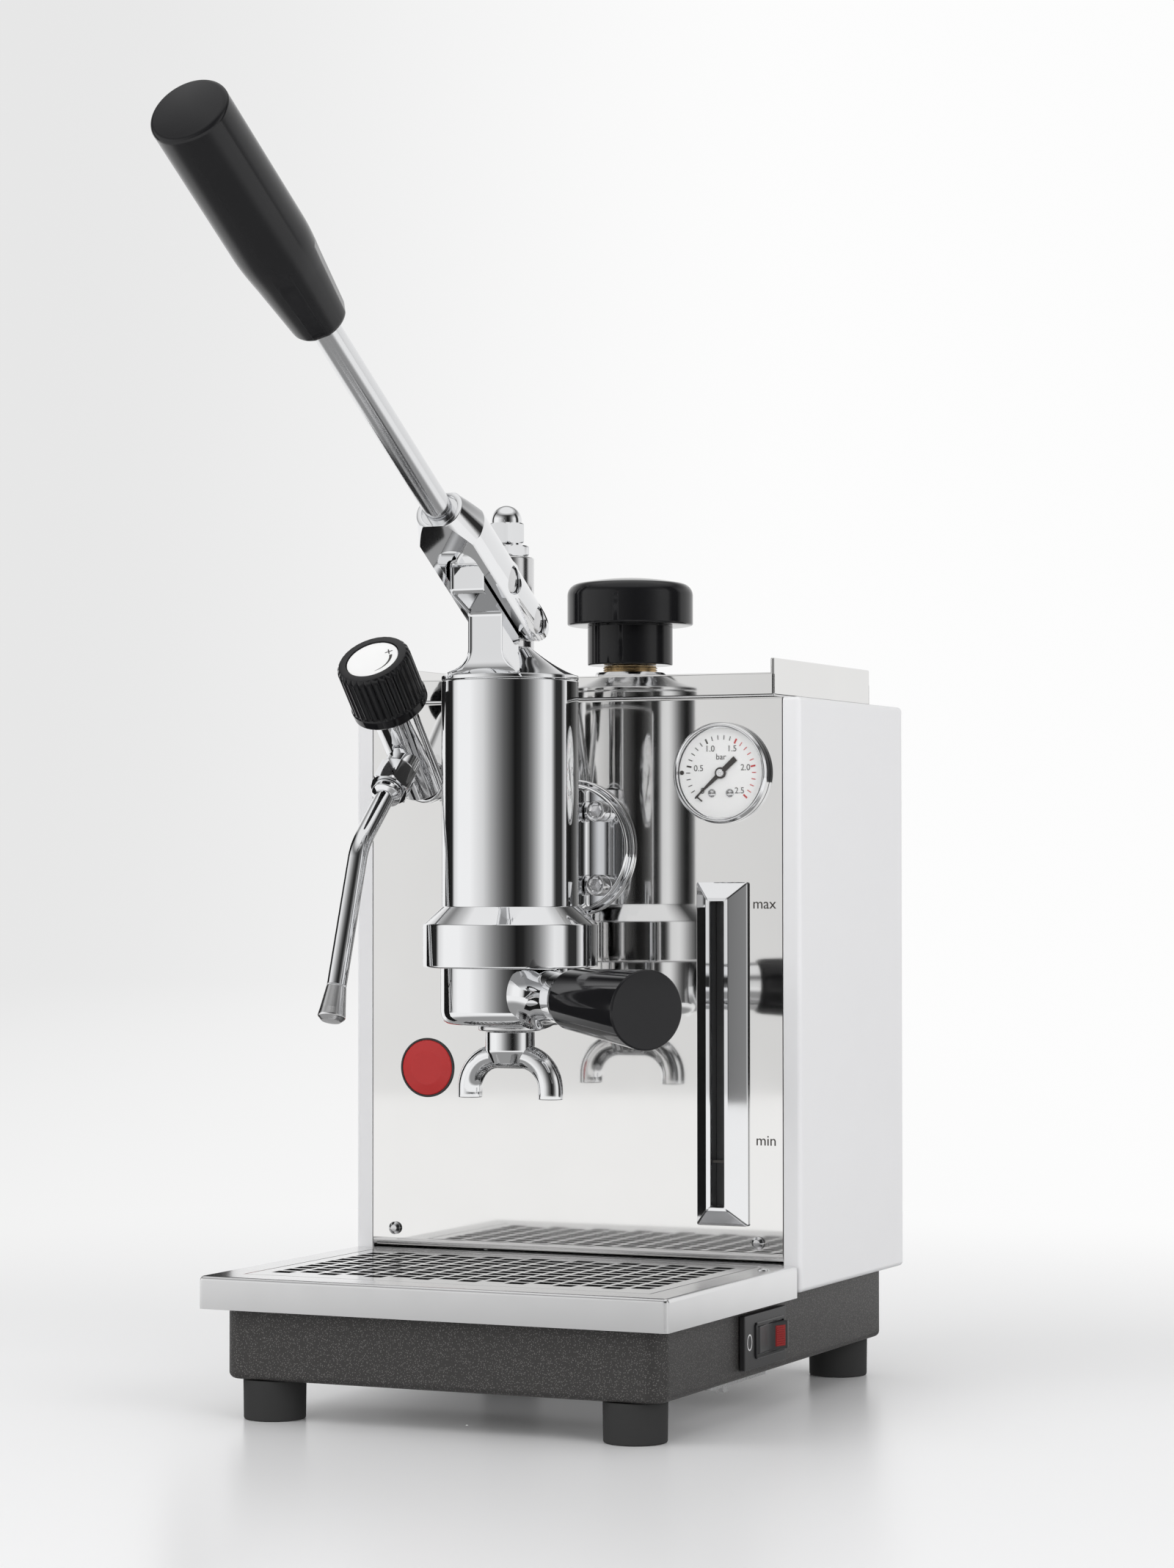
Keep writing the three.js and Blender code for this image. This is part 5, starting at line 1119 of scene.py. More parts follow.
@dataclass
class Group:
    """The brewing group: flange, neck, cylinder, collar, bolts, bonnet and what is inside."""

    reach: float = 59.0
    flange_z: float = 222.2
    bolt_spread: float = 15.0
    bolt_face: float = 5.1
    neck_half: float = 8.0
    cylinder: float = 27.1
    collar: float = 34.6
    collar_low: float = 175.1
    collar_high: float = 192.1
    cone_high: float = 199.1
    cylinder_top: float = 288.0
    pivot_y: float = -82.4
    pivot_z: float = 326.0

    def build(self) -> None:
        """Makes the group."""
        facing = Pose((0, 0, self.flange_z), turn_x(90))
        piece("chrome_ring", sleeve(10, 28.2, 0.3, 1.9, (0.3, 0.8)).moved(facing), Look.CHROME, "flange_ring")
        piece("group_casting", merged(self.barrel(), self.neck(facing)), Look.CHROME, "group_body")
        for k, (x, y) in enumerate(((-1, -1), (1, -1), (-1, 1), (1, 1)), 1):
            spot = facing.within((x * self.bolt_spread, y * self.bolt_spread, 0), np.eye(3))
            piece(f"socket_bolt_{k}", self.bolt().moved(spot), Look.BOLT, f"flange_bolt_{k}")
        piece("bonnet_casting", merged(self.cone(), self.arm()), Look.CHROME, "group_bonnet")
        for node, look in (("group_gasket", Look.RUBBER), ("shower_screen", Look.SATIN),
                           ("piston", Look.BRASS), ("piston_rod", Look.BRIGHT),
                           ("group_spring", Look.SATIN)):
            dressed(node, look)

    def barrel(self) -> Shell:
        """Collar and cylinder, open below and above, as one turned wall."""
        low = self.collar_low
        wall = turned([
            (28.0, low, 0), (self.collar, low, 0.9), (self.collar, self.collar_high, 0.9),
            (self.cylinder, self.cone_high, 0.5), (self.cylinder, self.cylinder_top, 0.6),
            (22, self.cylinder_top, 0), (22, 191.5, 0), (30, 191.5, 0), (30, 187.0, 0), (32.2, 187.0, 0),
            (32.2, 180.0, 0), (28.0, 180.0, 0), (28.0, low, 0)], 128)
        return wall.moved(Pose((0, -self.reach, 0)))

    def neck(self, facing: Pose) -> Shell:
        """Flange disc with its rounded rim, and the flat-sided neck that runs from it into the cylinder.

        Args:
            facing: The flange's frame, whose +Z faces the front.

        Returns:
            The shell.
        """
        disc = turned([(0, 2.2, 0), (26.4, 2.2, 0.4), (26.4, 4.8, 1.5), (0, 4.8, 0)], 128)
        angle = np.arange(SIDES) * 2 * math.pi / SIDES

        def loop(flare: float) -> Array:
            """A circle held to the neck's flats, opened out by flare."""
            x = np.clip(26.4 * np.cos(angle), -self.neck_half - flare, self.neck_half + flare)
            return np.column_stack([x * 0.98, 25.6 * np.sin(angle)])

        depths = [(2.4, 4.4), (1.2, 5.4), (0.4, 6.8), (0.0, 9.0), (0.0, 36.0)]
        return merged(disc, stacked([(loop(flare), depth) for flare, depth in depths])).moved(facing)

    def bolt(self) -> Shell:
        """A socket-head bolt: round loops over the head, then hexagonal ones down into its socket."""
        circle, six = polygon(1, SIDES, SIDES), polygon(1, SIDES, 6)
        head = [(3.0, 0.1), (4.1, 0.1), (4.3, 0.4), (4.3, 4.9), (4.05, 5.4), (3.7, 5.6), (2.7, 5.6)]
        return stacked([(circle * 3.0, -8.0), *[(circle * radius, self.bolt_face + z) for radius, z in head],
                        (six * 2.4, self.bolt_face + 5.3), (six * 2.4, self.bolt_face + 3.0)])

    def cone(self) -> Shell:
        """Bonnet: a short edge, then a slope that hollows slightly as it rises."""
        base = self.cylinder_top + 0.3
        height = (self.cylinder - 8) * math.tan(math.radians(31))
        share = np.linspace(0, 1, 14)[1:-1]
        slope = [(self.cylinder + (8 - self.cylinder) * s,
                  base + 1.6 + height * (s - 0.10 * math.sin(math.pi * s)), 0)
                 for s in share]
        profile = [(5.5, base - 4.6, 0), (21.7, base - 4.6, 0), (21.7, base, 0), (self.cylinder, base, 0.3),
                   (self.cylinder, base + 1.6, 0.5), *slope, (8, base + 1.6 + height, 0.8),
                   (5.5, base + 1.6 + height, 0), (5.5, base - 4.6, 0)]
        return turned(profile, 128).moved(Pose((0, -self.reach, 0)))

    def arm(self) -> Shell:
        """The pivot arm: its side outline between two rounded faces, flaring at its foot as an arc does."""
        foot = self.cylinder_top + 1.9
        front, back, nose = -self.reach - 21, -self.reach - 9, -self.reach - 37
        brow = self.pivot_z + 5.75
        rises = [foot + 0.8 + 1.15 * k for k in range(9)]
        head = [(self.pivot_y + 11.5 * math.cos(a), self.pivot_z + 11.5 * math.sin(a), 0.0)
                for a in np.radians(np.linspace(45, 144, 14))]
        side = softened([
            (back, foot, 0), *[(back, z, 0) for z in rises], (back, brow, 1.0), *head, (nose, brow, 1.5),
            (nose, self.pivot_z - 5, 2.5), (front, self.pivot_z - 12, 3.0),
            *[(front, z, 0) for z in rises[::-1]], (front, foot, 0)])
        body = plate(side[::-1], -7.4, 7.4, 1.3, 5)
        x, y, z = body.moved(Pose(turn=SIDEWAYS)).points.T
        flare = 10 * (1 - np.sqrt(1 - np.clip((foot + 10 - z) / 9, 0, 1) ** 2 * 0.97))
        points = np.column_stack([x + np.sign(x) * flare, y + np.sign(y + self.reach + 16) * flare * 0.2, z])
        return outward(points, body.faces)


@dataclass
class Lever:
    """Fork, pins, rod and handle, in a frame whose -Y runs up the lever from the pivot."""

    tilt: float = -32.4
    pivot_y: float = -82.4
    pivot_z: float = 326.0
    pin_spacing: float = 27.0
    fork_radius: float = 13.8
    fork_half: float = 8.0
    slot_half: float = 8.1
    slot_end: float = 30.2
    fork_length: float = 46.0
    rod_radius: float = 5.5
    grip_start: float = 157.5
    grip_length: float = 112.2
    flat_turn: float = -68.0

    def build(self) -> None:
        """Makes the lever."""
        pose = Pose((0, self.pivot_y, self.pivot_z), turn_x(self.tilt))
        along = pose.within((0, 0, 0), turn_x(90))
        self.fork(pose, along)
        half = [(3.5, 11.1, 0), (5.0, 11.1, 0.2), (5.0, 12.1, 0.5), (3.2, 12.5, 0), (0, 12.5, 0)]
        pin = turned([*[(r, -z, edge) for r, z, edge in half[::-1]], *half], 64)
        for name, y in (("pivot_pin", 0.0), ("rod_pin", self.pin_spacing)):
            piece(f"bright_{name}", pin.moved(pose.within((0, y, 0), turn_y(90))), Look.BRIGHT, name, "lever")
        bar = rod(self.rod_radius, 32.3, 168)
        piece("lever_bar", bar.moved(along), Look.ROD, "lever_rod", "lever")
        piece("lever_grip", self.grip().moved(along), Look.GRIP, "lever_handle", "lever")

    def fork(self, pose: Pose, along: Pose) -> None:
        """The fork: a turned bar held to two flats, with a slot, a rod hole and pin pockets taken out.

        Args:
            pose: The lever's frame.
            along: The frame whose +Z runs up the lever.
        """
        back, end, half = self.pin_spacing + self.fork_half, self.fork_length, self.slot_half
        bar = turned([(0, -back, 0), (self.fork_radius, -back, 0), (self.fork_radius, 33.8, 1.5),
                      (9.3, end, 0.6), (7.4, end, 0.4), (7.2, end - 1.2, 0), (0, end - 1.2, 0)], 128)
        arc = np.radians(np.linspace(-90, 90, 33))
        ends = np.column_stack([self.pin_spacing + self.fork_half * np.cos(arc),
                                self.fork_half * np.sin(arc)])
        side = np.vstack([[-60.0, -self.fork_half], ends, [-60.0, self.fork_half]])
        flats = stacked([(side, -20.0), (side, 20.0)], fan=False).moved(Pose(turn=SIDEWAYS))
        arc = np.radians(np.linspace(180, 360, 33))
        ends = np.column_stack([half * np.cos(arc), half - self.slot_end + half * np.sin(arc)])
        plan = np.vstack([[-half, 60.0], ends, [half, 60.0]])
        slot = stacked([(plan, -25.0), (plan, 25.0)], fan=False)
        pockets = [rod(5.6, x0, x1, sides=64).moved(Pose((0, y, 0), turn_y(90)))
                   for y in (0.0, self.pin_spacing) for x0, x1 in ((10.8, 24.0), (-24.0, -10.8))]
        carved("lever_yoke", bar.moved(along), [flats.moved(pose)],
               [cut.moved(pose) for cut in (slot, *pockets)], 0.35, Look.CHROME, "lever_fork", "lever")

    def grip(self) -> Shell:
        """The handle: round loops whose radius swells by a smooth step, with four flats below the swell.

        A flat starts square: from its first loop on, points are held to a distance from the axis along its
        normal.
        """
        start, end = self.grip_start, self.grip_start + self.grip_length
        heights = np.concatenate([np.linspace(3, 37, 18), [37.05], np.linspace(38, 50, 9)])
        share = np.clip((heights - 29) / 17, 0, 1)
        radii = np.where(heights < 29, 10.9 + 2.4 * (heights - 3) / 26,
                         13.3 + 1.25 * np.sin(share * math.pi / 2))
        edge = [(10.9 - 3 * (1 - math.sin(a)), start + 3 * (1 - math.cos(a)))
                for a in np.linspace(0, math.pi / 2, 6)[:-1]]
        body = [(r, start + h) for r, h in zip(radii, heights)]
        head = [(r, z) for r, z, _ in crown(14.55, end - 3.2, 1.9, 1.15)[:-1]]
        rows = np.array([*edge, *body, *head])
        angle = np.arange(SIDES * 2) * math.pi / SIDES
        within = np.mod(angle - math.radians(self.flat_turn) + math.pi / 4, math.pi / 2) - math.pi / 4
        depth = np.where(rows[:, 1] < start + 37.02, 0.32 + 0.1 * (rows[:, 1] - start) / 37, 0.0)
        reach = np.minimum(rows[:, :1], (rows[:, :1] - depth[:, None]) / np.cos(within)[None, :])
        loops = np.stack([reach * np.cos(angle), reach * np.sin(angle),
                          np.broadcast_to(rows[:, 1:], reach.shape)], -1)
        return rings(loops)


@dataclass
class Portafilter:
    """Bowl, neck, grip and spouts, in a frame about the group's axis whose -Y points along the grip."""

    turn: float = 51.6
    dip: float = 2.0
    reach: float = 59.0
    radius: float = 27.6
    low: float = 152.6
    high: float = 186.7
    grip_z: float = 165.8
    under_collar: float = 174.85
    spout_turn: float = -56.4
    spout_top: float = 149.8
    spout_drop: float = 24.5
    spout_bar: float = 4.9
    spread: float = 18.4

    def build(self) -> None:
        """Makes the portafilter."""
        pose = Pose((0, -self.reach, 0), turn_z(self.turn))
        bowl = turned([(7, self.low, 0), (self.radius, self.low, 5.5), (self.radius, self.high, 0.4),
                       (25.5, self.high, 0), (25.5, self.low + 5, 0), (7, self.low + 5, 0), (7, self.low, 0)],
                       128)
        along = Pose((0, 0, self.grip_z), turn_x(90 + self.dip))
        flare = [(9.7 + 4.0 * math.exp(-(s - 25.0) / 4.5), s, 0) for s in np.linspace(25, 46, 36)]
        neck = turned([(0, 25, 0), *flare, (10.4, 54.0, 0.3), (10.1, 54.3, 0), (0, 54.3, 0)],
                      128).moved(along)
        points = neck.points.copy()
        points[:, 2] = np.minimum(points[:, 2], self.under_collar)
        piece("filter_holder", merged(bowl, Shell(points, neck.faces)).moved(pose), Look.CHROME,
              "portafilter_body", "portafilter")
        grip = turned([(0, 54.8, 0), (11.3, 54.8, 1.6), (11.95, 58.0, 2.4), (15.0, 114.9, 0.5),
                       (14.4, 115.5, 0.3), (0, 115.45, 0)], 128)
        piece("filter_grip", grip.moved(along, pose), Look.GLOSS, "portafilter_handle", "portafilter")
        washer = sleeve(7, 12.6, self.spout_top + 0.3, self.low - 0.3, (0.8, 0.8))
        piece("spout_collar", washer.moved(pose), Look.BRIGHT, "spout_washer", "portafilter")
        self.spout(pose.within((0, 0, 0), turn_z(self.spout_turn)))
        dressed("filter_basket", Look.SATIN)

    def spout(self, pose: Pose) -> None:
        """The double spout: a hub, and one bent bar whose mouths are bored.

        Args:
            pose: The spout's frame.
        """
        top, end, bar = self.spout_top, self.spout_top - self.spout_drop, self.spout_bar
        hub = turned([(0, top - 14, 0), (7.4, top - 13.6, 2.5), (9.75, top - 8, 4), (9.75, top, 0.4),
                      (0, top, 0)])
        corners = [(-self.spread, 0, end), (-self.spread, 0, top - 2 * bar), (self.spread, 0, top - 2 * bar),
                   (self.spread, 0, end)]
        arch = tube(bent_line(corners, 13.0), bar, 48)
        mouths = [sleeve(3.5, bar, end - 1.9, end, (0.4, 0), 48).moved(Pose((x, 0, 0)))
                  for x in (-self.spread, self.spread)]
        piece("double_spout", merged(hub, arch, *mouths).moved(pose), Look.CHROME, "spout", "portafilter")


@dataclass
class Steam:
    """Steam valve, knob and wand, in a frame whose +Z runs up the stem and -Y out along the wand."""

    x: float = -66.5
    z: float = 243.8
    tilt: float = 42.0
    along: float = 25.2
    lean: float = 61.0
    seat_z: float = 250.3
    knob_low: float = 49.2
    knob_high: float = 74.3
    knee: float = 58.7

    def build(self) -> None:
        """Makes the valve, the knob and the wand."""
        pose = Pose((self.x, 0, self.z), turn_x(self.tilt))
        barrel = turned([(0, 6.0, 0), (9.2, 6.0, 0.4), (9.2, 52.0, 1.0), (3.5, 52.0, 0), (3.5, 44, 0),
                         (0, 44, 0)])
        boss = rod(7, 0, 13.2, (0, 1.0)).moved(Pose((0, 0, self.along), turn_x(90)))
        seat = rod(9.0, 0.3, 4.0, (0, 1.0)).moved(Pose((self.x, 0, self.seat_z), turn_x(90)))
        piece("steam_barrel", merged(barrel.moved(pose), boss.moved(pose), seat), Look.CHROME,
              "steam_valve_body")
        self.knob(pose)
        self.wand(pose)

    def knob(self, pose: Pose) -> None:
        """The knob: loops drawn in by a rounded wave, 30 to the turn, between a band and a crown.

        Args:
            pose: The valve's frame.
        """
        low, high = self.knob_low, self.knob_high
        angle = np.arange(720) * 2 * math.pi / 720
        wave = np.abs(np.sin(angle * 15)) ** 0.6
        unit = np.stack([np.cos(angle), np.sin(angle)], -1)
        below = [(9.9, 0, 2.8), (9.9, 0, 0), (15.2, 0, 0), (15.8, 0, 0.7), (15.9, 0, 4.0), (15.5, 0, 4.5),
                 (15.5, 0.85, 5.4)]
        above = [(15.5, 0.85, 2.6), (15.2, 0.6, 1.2), (14.3, 0.1, 0.2), (13.6, 0, 0), (11.3, 0, 0),
                 (11.2, 0, 1.4)]
        rows = [*[(r, depth, low + up) for r, depth, up in below],
                *[(r, depth, high - down) for r, depth, down in above]]
        levels = [(unit * (r - depth * (1 - wave))[:, None], z) for r, depth, z in rows]
        piece("fluted_knob", stacked(levels).moved(pose), Look.GLOSS, "steam_knob", "knob")
        disc = rod(10.9, high - 1.1, high - 0.5, (0, 0.2))
        piece("knob_disc", disc.moved(pose), Look.DIAL, "steam_knob_disc", "knob")
        top, spot = high - 0.46, Pose((5.6, 4.8, 0), turn_z(28))
        for name, x, y in (("across", 1.6, 0.25), ("upright", 0.25, 1.6)):
            mark = block([-x, -y, top - 0.02], [x, y, top + 0.03], 0.01)
            piece(f"knob_plus_{name}", mark.moved(spot, pose), Look.INK, body="knob")
        sweep = np.radians(np.linspace(-62, 22, 60))
        ray = 8.4 * np.column_stack([np.cos(sweep), np.sin(sweep)])
        width = np.linspace(0.15, 1.3, 60)[:, None]
        arc = np.vstack([ray, (ray * (1 - width / 8.4))[::-1]])
        piece("knob_arc", stacked([(arc, top - 0.02), (arc, top + 0.03)], fan=False).moved(pose), Look.INK,
              body="knob")

    def wand(self, pose: Pose) -> None:
        """Nut, collar, bent pipe and flared tip.

        Args:
            pose: The valve's frame.
        """
        out = Pose((0, 0, self.along), turn_x(90))
        nut = BoilerTop.nut(8.66, 13.5, 24.5, 4.3)
        piece("wand_hex", nut.moved(out, pose), Look.CHROME, "wand_nut")
        lean = math.radians(self.lean)
        lower = np.array([0, -math.sin(lean), -math.cos(lean)])
        knee = np.array([0, -self.knee, self.along])
        end = knee + lower * 58.8
        pipe = tube(bent_line([(0, -9.0, self.along), knee, end], 22.0, 24), 4.0, 48)
        collar = turned([(0, 24.8, 0), (6.2, 24.8, 0.5), (6.2, 28.0, 0.8), (4.2, 29.3, 0.4), (0, 29.3, 0)])
        piece("steam_pipe", merged(pipe, collar.moved(out)).moved(pose), Look.CHROME, "steam_wand", "wand")
        tip = turned([(0, 0, 0), (3.9, 0, 0.4), (5.7, 1.7, 1.2), (5.2, 5.0, 2), (4.0, 14.3, 0.3),
                      (0, 14.6, 0)])
        aimed = Pose(tuple(end + lower * 14.9), turn_x(-self.lean))
        piece("steam_nozzle", tip.moved(aimed, pose), Look.SHEET, "wand_tip", "wand")


@dataclass
class Instruments:
    """Gauge, sight glass, lamp, panel screws and level marks, in frames whose +Z faces the front."""

    x: float = 66.5
    gauge_z: float = 252.3
    lamp_z: float = 131.4
    screw_x: float = 81.5
    screw_z: float = 64.4
    sight_low: float = 70.9
    sight_high: float = 208.5
    zero: float = 222.0
    sweep: float = 264.0
    full: float = 2.5

    def build(self) -> None:
        """Makes the front's instruments."""
        self.gauge(Pose((self.x, 0, self.gauge_z), turn_x(90)))
        self.sight()
        lamp = Pose((-self.x, 0, self.lamp_z), turn_x(90))
        lens = turned([(0, -20, 0), (9.6, -20, 0), (9.6, -3, 0), (11.5, -3, 0), (11.5, 0.5, 0.7),
                       (7.0, 1.15, 6), (0, 1.3, 0)])
        piece("lamp_lens", lens.moved(lamp), Look.RED, "pilot_lamp")
        rim = turned([(11.5, 0.02, 0), (12.3, 0.02, 0), (12.3, 0.5, 0.2), (11.5, 0.5, 0.1), (11.5, 0.02, 0)])
        piece("lamp_rim", rim.moved(lamp), Look.MOULDED)
        screw = turned([(0, -8, 0), (1.9, -8, 0), (1.9, 0.3, 0), (2.6, 0.3, 0), (2.6, 1.1, 0.3),
                        (1.4, 1.9, 0.8), (0, 2.0, 0)], 48)
        for name, side in (("left", -1), ("right", 1)):
            spot = Pose((side * self.screw_x, 0, self.screw_z), turn_x(90))
            piece(f"front_screw_{name}", screw.moved(spot), Look.BRIGHT, f"panel_screw_{name}")
        for word, x, z in (("max", 84.3, 199.7), ("min", 84.9, 105.2)):
            lettering(f"mark_{word}", word, 6.0, (x, z), Pose(turn=turn_x(90)), 0.05)

    def gauge(self, pose: Pose) -> None:
        """Case, dial with its scale, needle and glass.

        Args:
            pose: The gauge's frame.
        """
        case = turned([(0, -19, 0), (18, -19, 0), (18, 0.3, 0), (20.4, 0.3, 0), (20.4, 3.2, 1.6),
                       (19.5, 4.7, 0.7), (18.5, 4.3, 0.5), (18.5, 1.0, 0), (0, 1.0, 0)], 128)
        piece("gauge_bezel", case.moved(pose), Look.CHROME, "gauge_case")
        piece("gauge_face", rod(18.2, 1.3, 2.1).moved(pose), Look.DIAL, "gauge_dial")
        self.scale(pose)
        aimed = pose.within((0, 0, 0), turn_z(self.zero - 90))
        blade = np.array([[-1.1, -8.6], [1.1, -8.6], [1.0, -1.0], [0.22, 14.0], [-0.22, 14.0], [-1.0, -1.0]])
        needle = merged(stacked([(blade, 2.4), (blade, 2.9)], fan=False), rod(2.3, 2.4, 3.3, (0, 0.3), 48))
        piece("gauge_hand", needle.moved(aimed), Look.INK, "gauge_needle", "needle")
        boss = turned([(0, 3.3, 0), (1.7, 3.3, 0), (1.5, 3.7, 0.2), (0, 3.8, 0)], 32)
        piece("gauge_hub", boss.moved(pose), Look.BRIGHT, body="needle")
        for name, x in (("left", -3.9), ("right", 3.9)):
            screw = turned([(0, 2.1, 0), (1.7, 2.1, 0), *crown(1.7, 2.3, 0.15, 0.35)], 32)
            slot = block([x - 1.2, -8.25, 2.7], [x + 1.2, -7.95, 2.82], 0.02)
            piece(f"dial_screw_{name}", screw.moved(Pose((x, -8.1, 0)), pose), Look.BRIGHT)
            piece(f"dial_screw_slot_{name}", slot.moved(pose), Look.INK)
        stop = block([-0.25, -3.1, 2.15], [0.25, 0.2, 2.75], 0.05).moved(Pose((-10.6, -9.4, 0), turn_z(52)))
        notch = rod(0.9, 2.12, 2.3, sides=24).moved(Pose((-17.0, 0.2, 0)))
        piece("dial_stop", merged(stop, notch).moved(pose), Look.INK)
        piece("gauge_window", rod(18.2, 3.9, 4.3, (0.1, 0.1)).moved(pose), Look.GLASS, "gauge_glass")

    def scale(self, pose: Pose) -> None:
        """Tick marks every 0.1 and numbers every 0.5; a value v stands at zero minus sweep times v over full.

        Args:
            pose: The gauge's frame.
        """
        ticks = {Look.INK: [], Look.INK_RED: []}
        for k in range(26):
            low, wide = (13.1, 0.7) if k % 5 == 0 else (13.4, 0.36)
            tick = block([low, -wide / 2, 2.08], [15.2, wide / 2, 2.16], 0.02)
            tick = tick.moved(Pose(turn=turn_z(self.zero - self.sweep * k / 10 / self.full)))
            ticks[Look.INK_RED if k >= 15 else Look.INK].append(tick)
        for name, look in (("dark", Look.INK), ("red", Look.INK_RED)):
            piece(f"scale_{name}", merged(*ticks[look]).moved(pose), look)
        for k in range(6):
            angle = math.radians(self.zero - self.sweep * k / 5)
            out = 9.9 if k == 1 else 10.8
            words = "0" if k == 0 else f"{k / 2:.1f}"
            lettering(f"scale_{k}", words, 3.5, (out * math.cos(angle), out * math.sin(angle)), pose, 2.14)
        lettering("scale_bar", "bar", 3.4, (0.0, 6.4), pose, 2.14)

    def sight(self) -> None:
        """The sight housing, as rectangular loops up its bevel and down into the slot, and its glass."""
        middle, half = (self.sight_low + self.sight_high) / 2, (self.sight_high - self.sight_low) / 2
        pose = Pose((self.x, 0, middle), turn_x(90))
        rows = [(2.95, 7.8, 0.3, 0.3), (11, 0, 0.9, 0.3), (11, 0, 0.9, 1.4), (10.6, 0.4, 0.9, 1.9),
                (5.1, 5.9, 0.7, 6.7), (4.7, 6.3, 0.6, 7.0), (3.2, 7.55, 0.3, 7.0), (2.95, 7.8, 0.3, 6.8)]
        levels = [(rectangle(wide, half - drawn, radius, 4), z) for wide, drawn, radius, z in rows]
        piece("sight_frame", stacked(levels, looped=True).moved(pose), Look.CHROME, "sight_housing")
        back = block([-2.9, -(half - 7.9), -0.6], [2.9, half - 7.9, 0.2], 0.1)
        piece("sight_back", back.moved(pose), Look.MOULDED)
        glass = rod(2.2, -(half - 8.2), half - 8.2, (0.3, 0.3), 48).moved(Pose((self.x, -2.6, middle)))
        piece("sight_tube", glass, Look.GLASS, "sight_glass")
        piece("sight_mark", block([-2.6, -43.4, 4.6], [2.6, -42.4, 5.0], 0.05).moved(pose), Look.INK)


@dataclass
class Electrics:
    """Switch and inlet, on the right side."""

    x: float = 93.3
    y: float = -24.2
    z: float = 30.5
    face: float = 2.5
    tilt: float = -8.0
    dip: float = 3.6
    crest: tuple[float, float] = (6.0, 10.8)

    def build(self) -> None:
        """Makes the switch, and dresses the inlet."""
        pose = Pose((self.x, self.y, self.z))
        cover = block([0, -25.25, -10.65], [self.face, 17.65, 10.65], 0.5)
        box = block([-22, -15, -7], [0.2, 15, 7], 0.4)
        piece("switch_plate", merged(cover, box).moved(pose), Look.MOULDED, "switch_housing")
        rows = [(15.1, 7.1, 1.8, 0.0), (15.1, 7.1, 1.8, 0.4), (14.7, 6.7, 1.5, 0.7), (13.9, 5.9, 0.9, 0.7),
                (13.9, 5.9, 0.9, 0.0)]
        bezel = stacked([(rectangle(x, y, radius), z) for x, y, radius, z in rows], looped=True)
        piece("switch_bezel", bezel.moved(Pose((self.face, 0, 0), SIDEWAYS), pose), Look.GLOSS)
        self.rocker()
        angle = np.arange(48) * 2 * math.pi / 48
        outer = np.column_stack([2.4 * np.cos(angle), 3.2 * np.sin(angle)])
        ring = stacked([(outer, 0.0), (outer, 0.05), (outer * 0.84, 0.05), (outer * 0.84, 0.0)], looped=True)
        spot = Pose((self.face - 0.02, -20.2, 0), SIDEWAYS)
        piece("switch_mark", ring.moved(spot, pose), Look.INK_WHITE)
        dressed("power_inlet", Look.MOULDED)

    def rocker(self) -> None:
        """The rocker: a plan outline with a shallow dip between rounded faces, and a ribbed red window."""
        pose = Pose((self.x - 1.1, self.y, self.z), turn_z(self.tilt))
        out, along = self.crest
        plan = softened([(-6, -4.5, 0), (0, -12.9, 0), (5.2, -13.0, 0.6), (out, -along, 0.6),
                         (self.dip, 0, 12), (out, along, 0.6), (5.2, 13.0, 0.6), (0, 12.9, 0),
                         (-6, 4.5, 0)])
        piece("rocker_body", plate(plan, -5.4, 5.4, 0.5).moved(pose), Look.MOULDED, "power_rocker", "rocker")
        slope = math.degrees(math.atan2(out - self.dip, along))
        ribs = [block([0.02, 4.3, z - 0.33], [0.3, 9.4, z + 0.33], 0.12) for z in np.linspace(-3.6, 3.6, 9)]
        window = block([-0.3, 4.0, -4.1], [0.12, 9.7, 4.1], 0.1)
        face = Pose((self.dip, 0, 0), turn_z(-slope))
        piece("rocker_window", merged(window, *ribs).moved(face, pose), Look.WINDOW, body="rocker")


# Studio

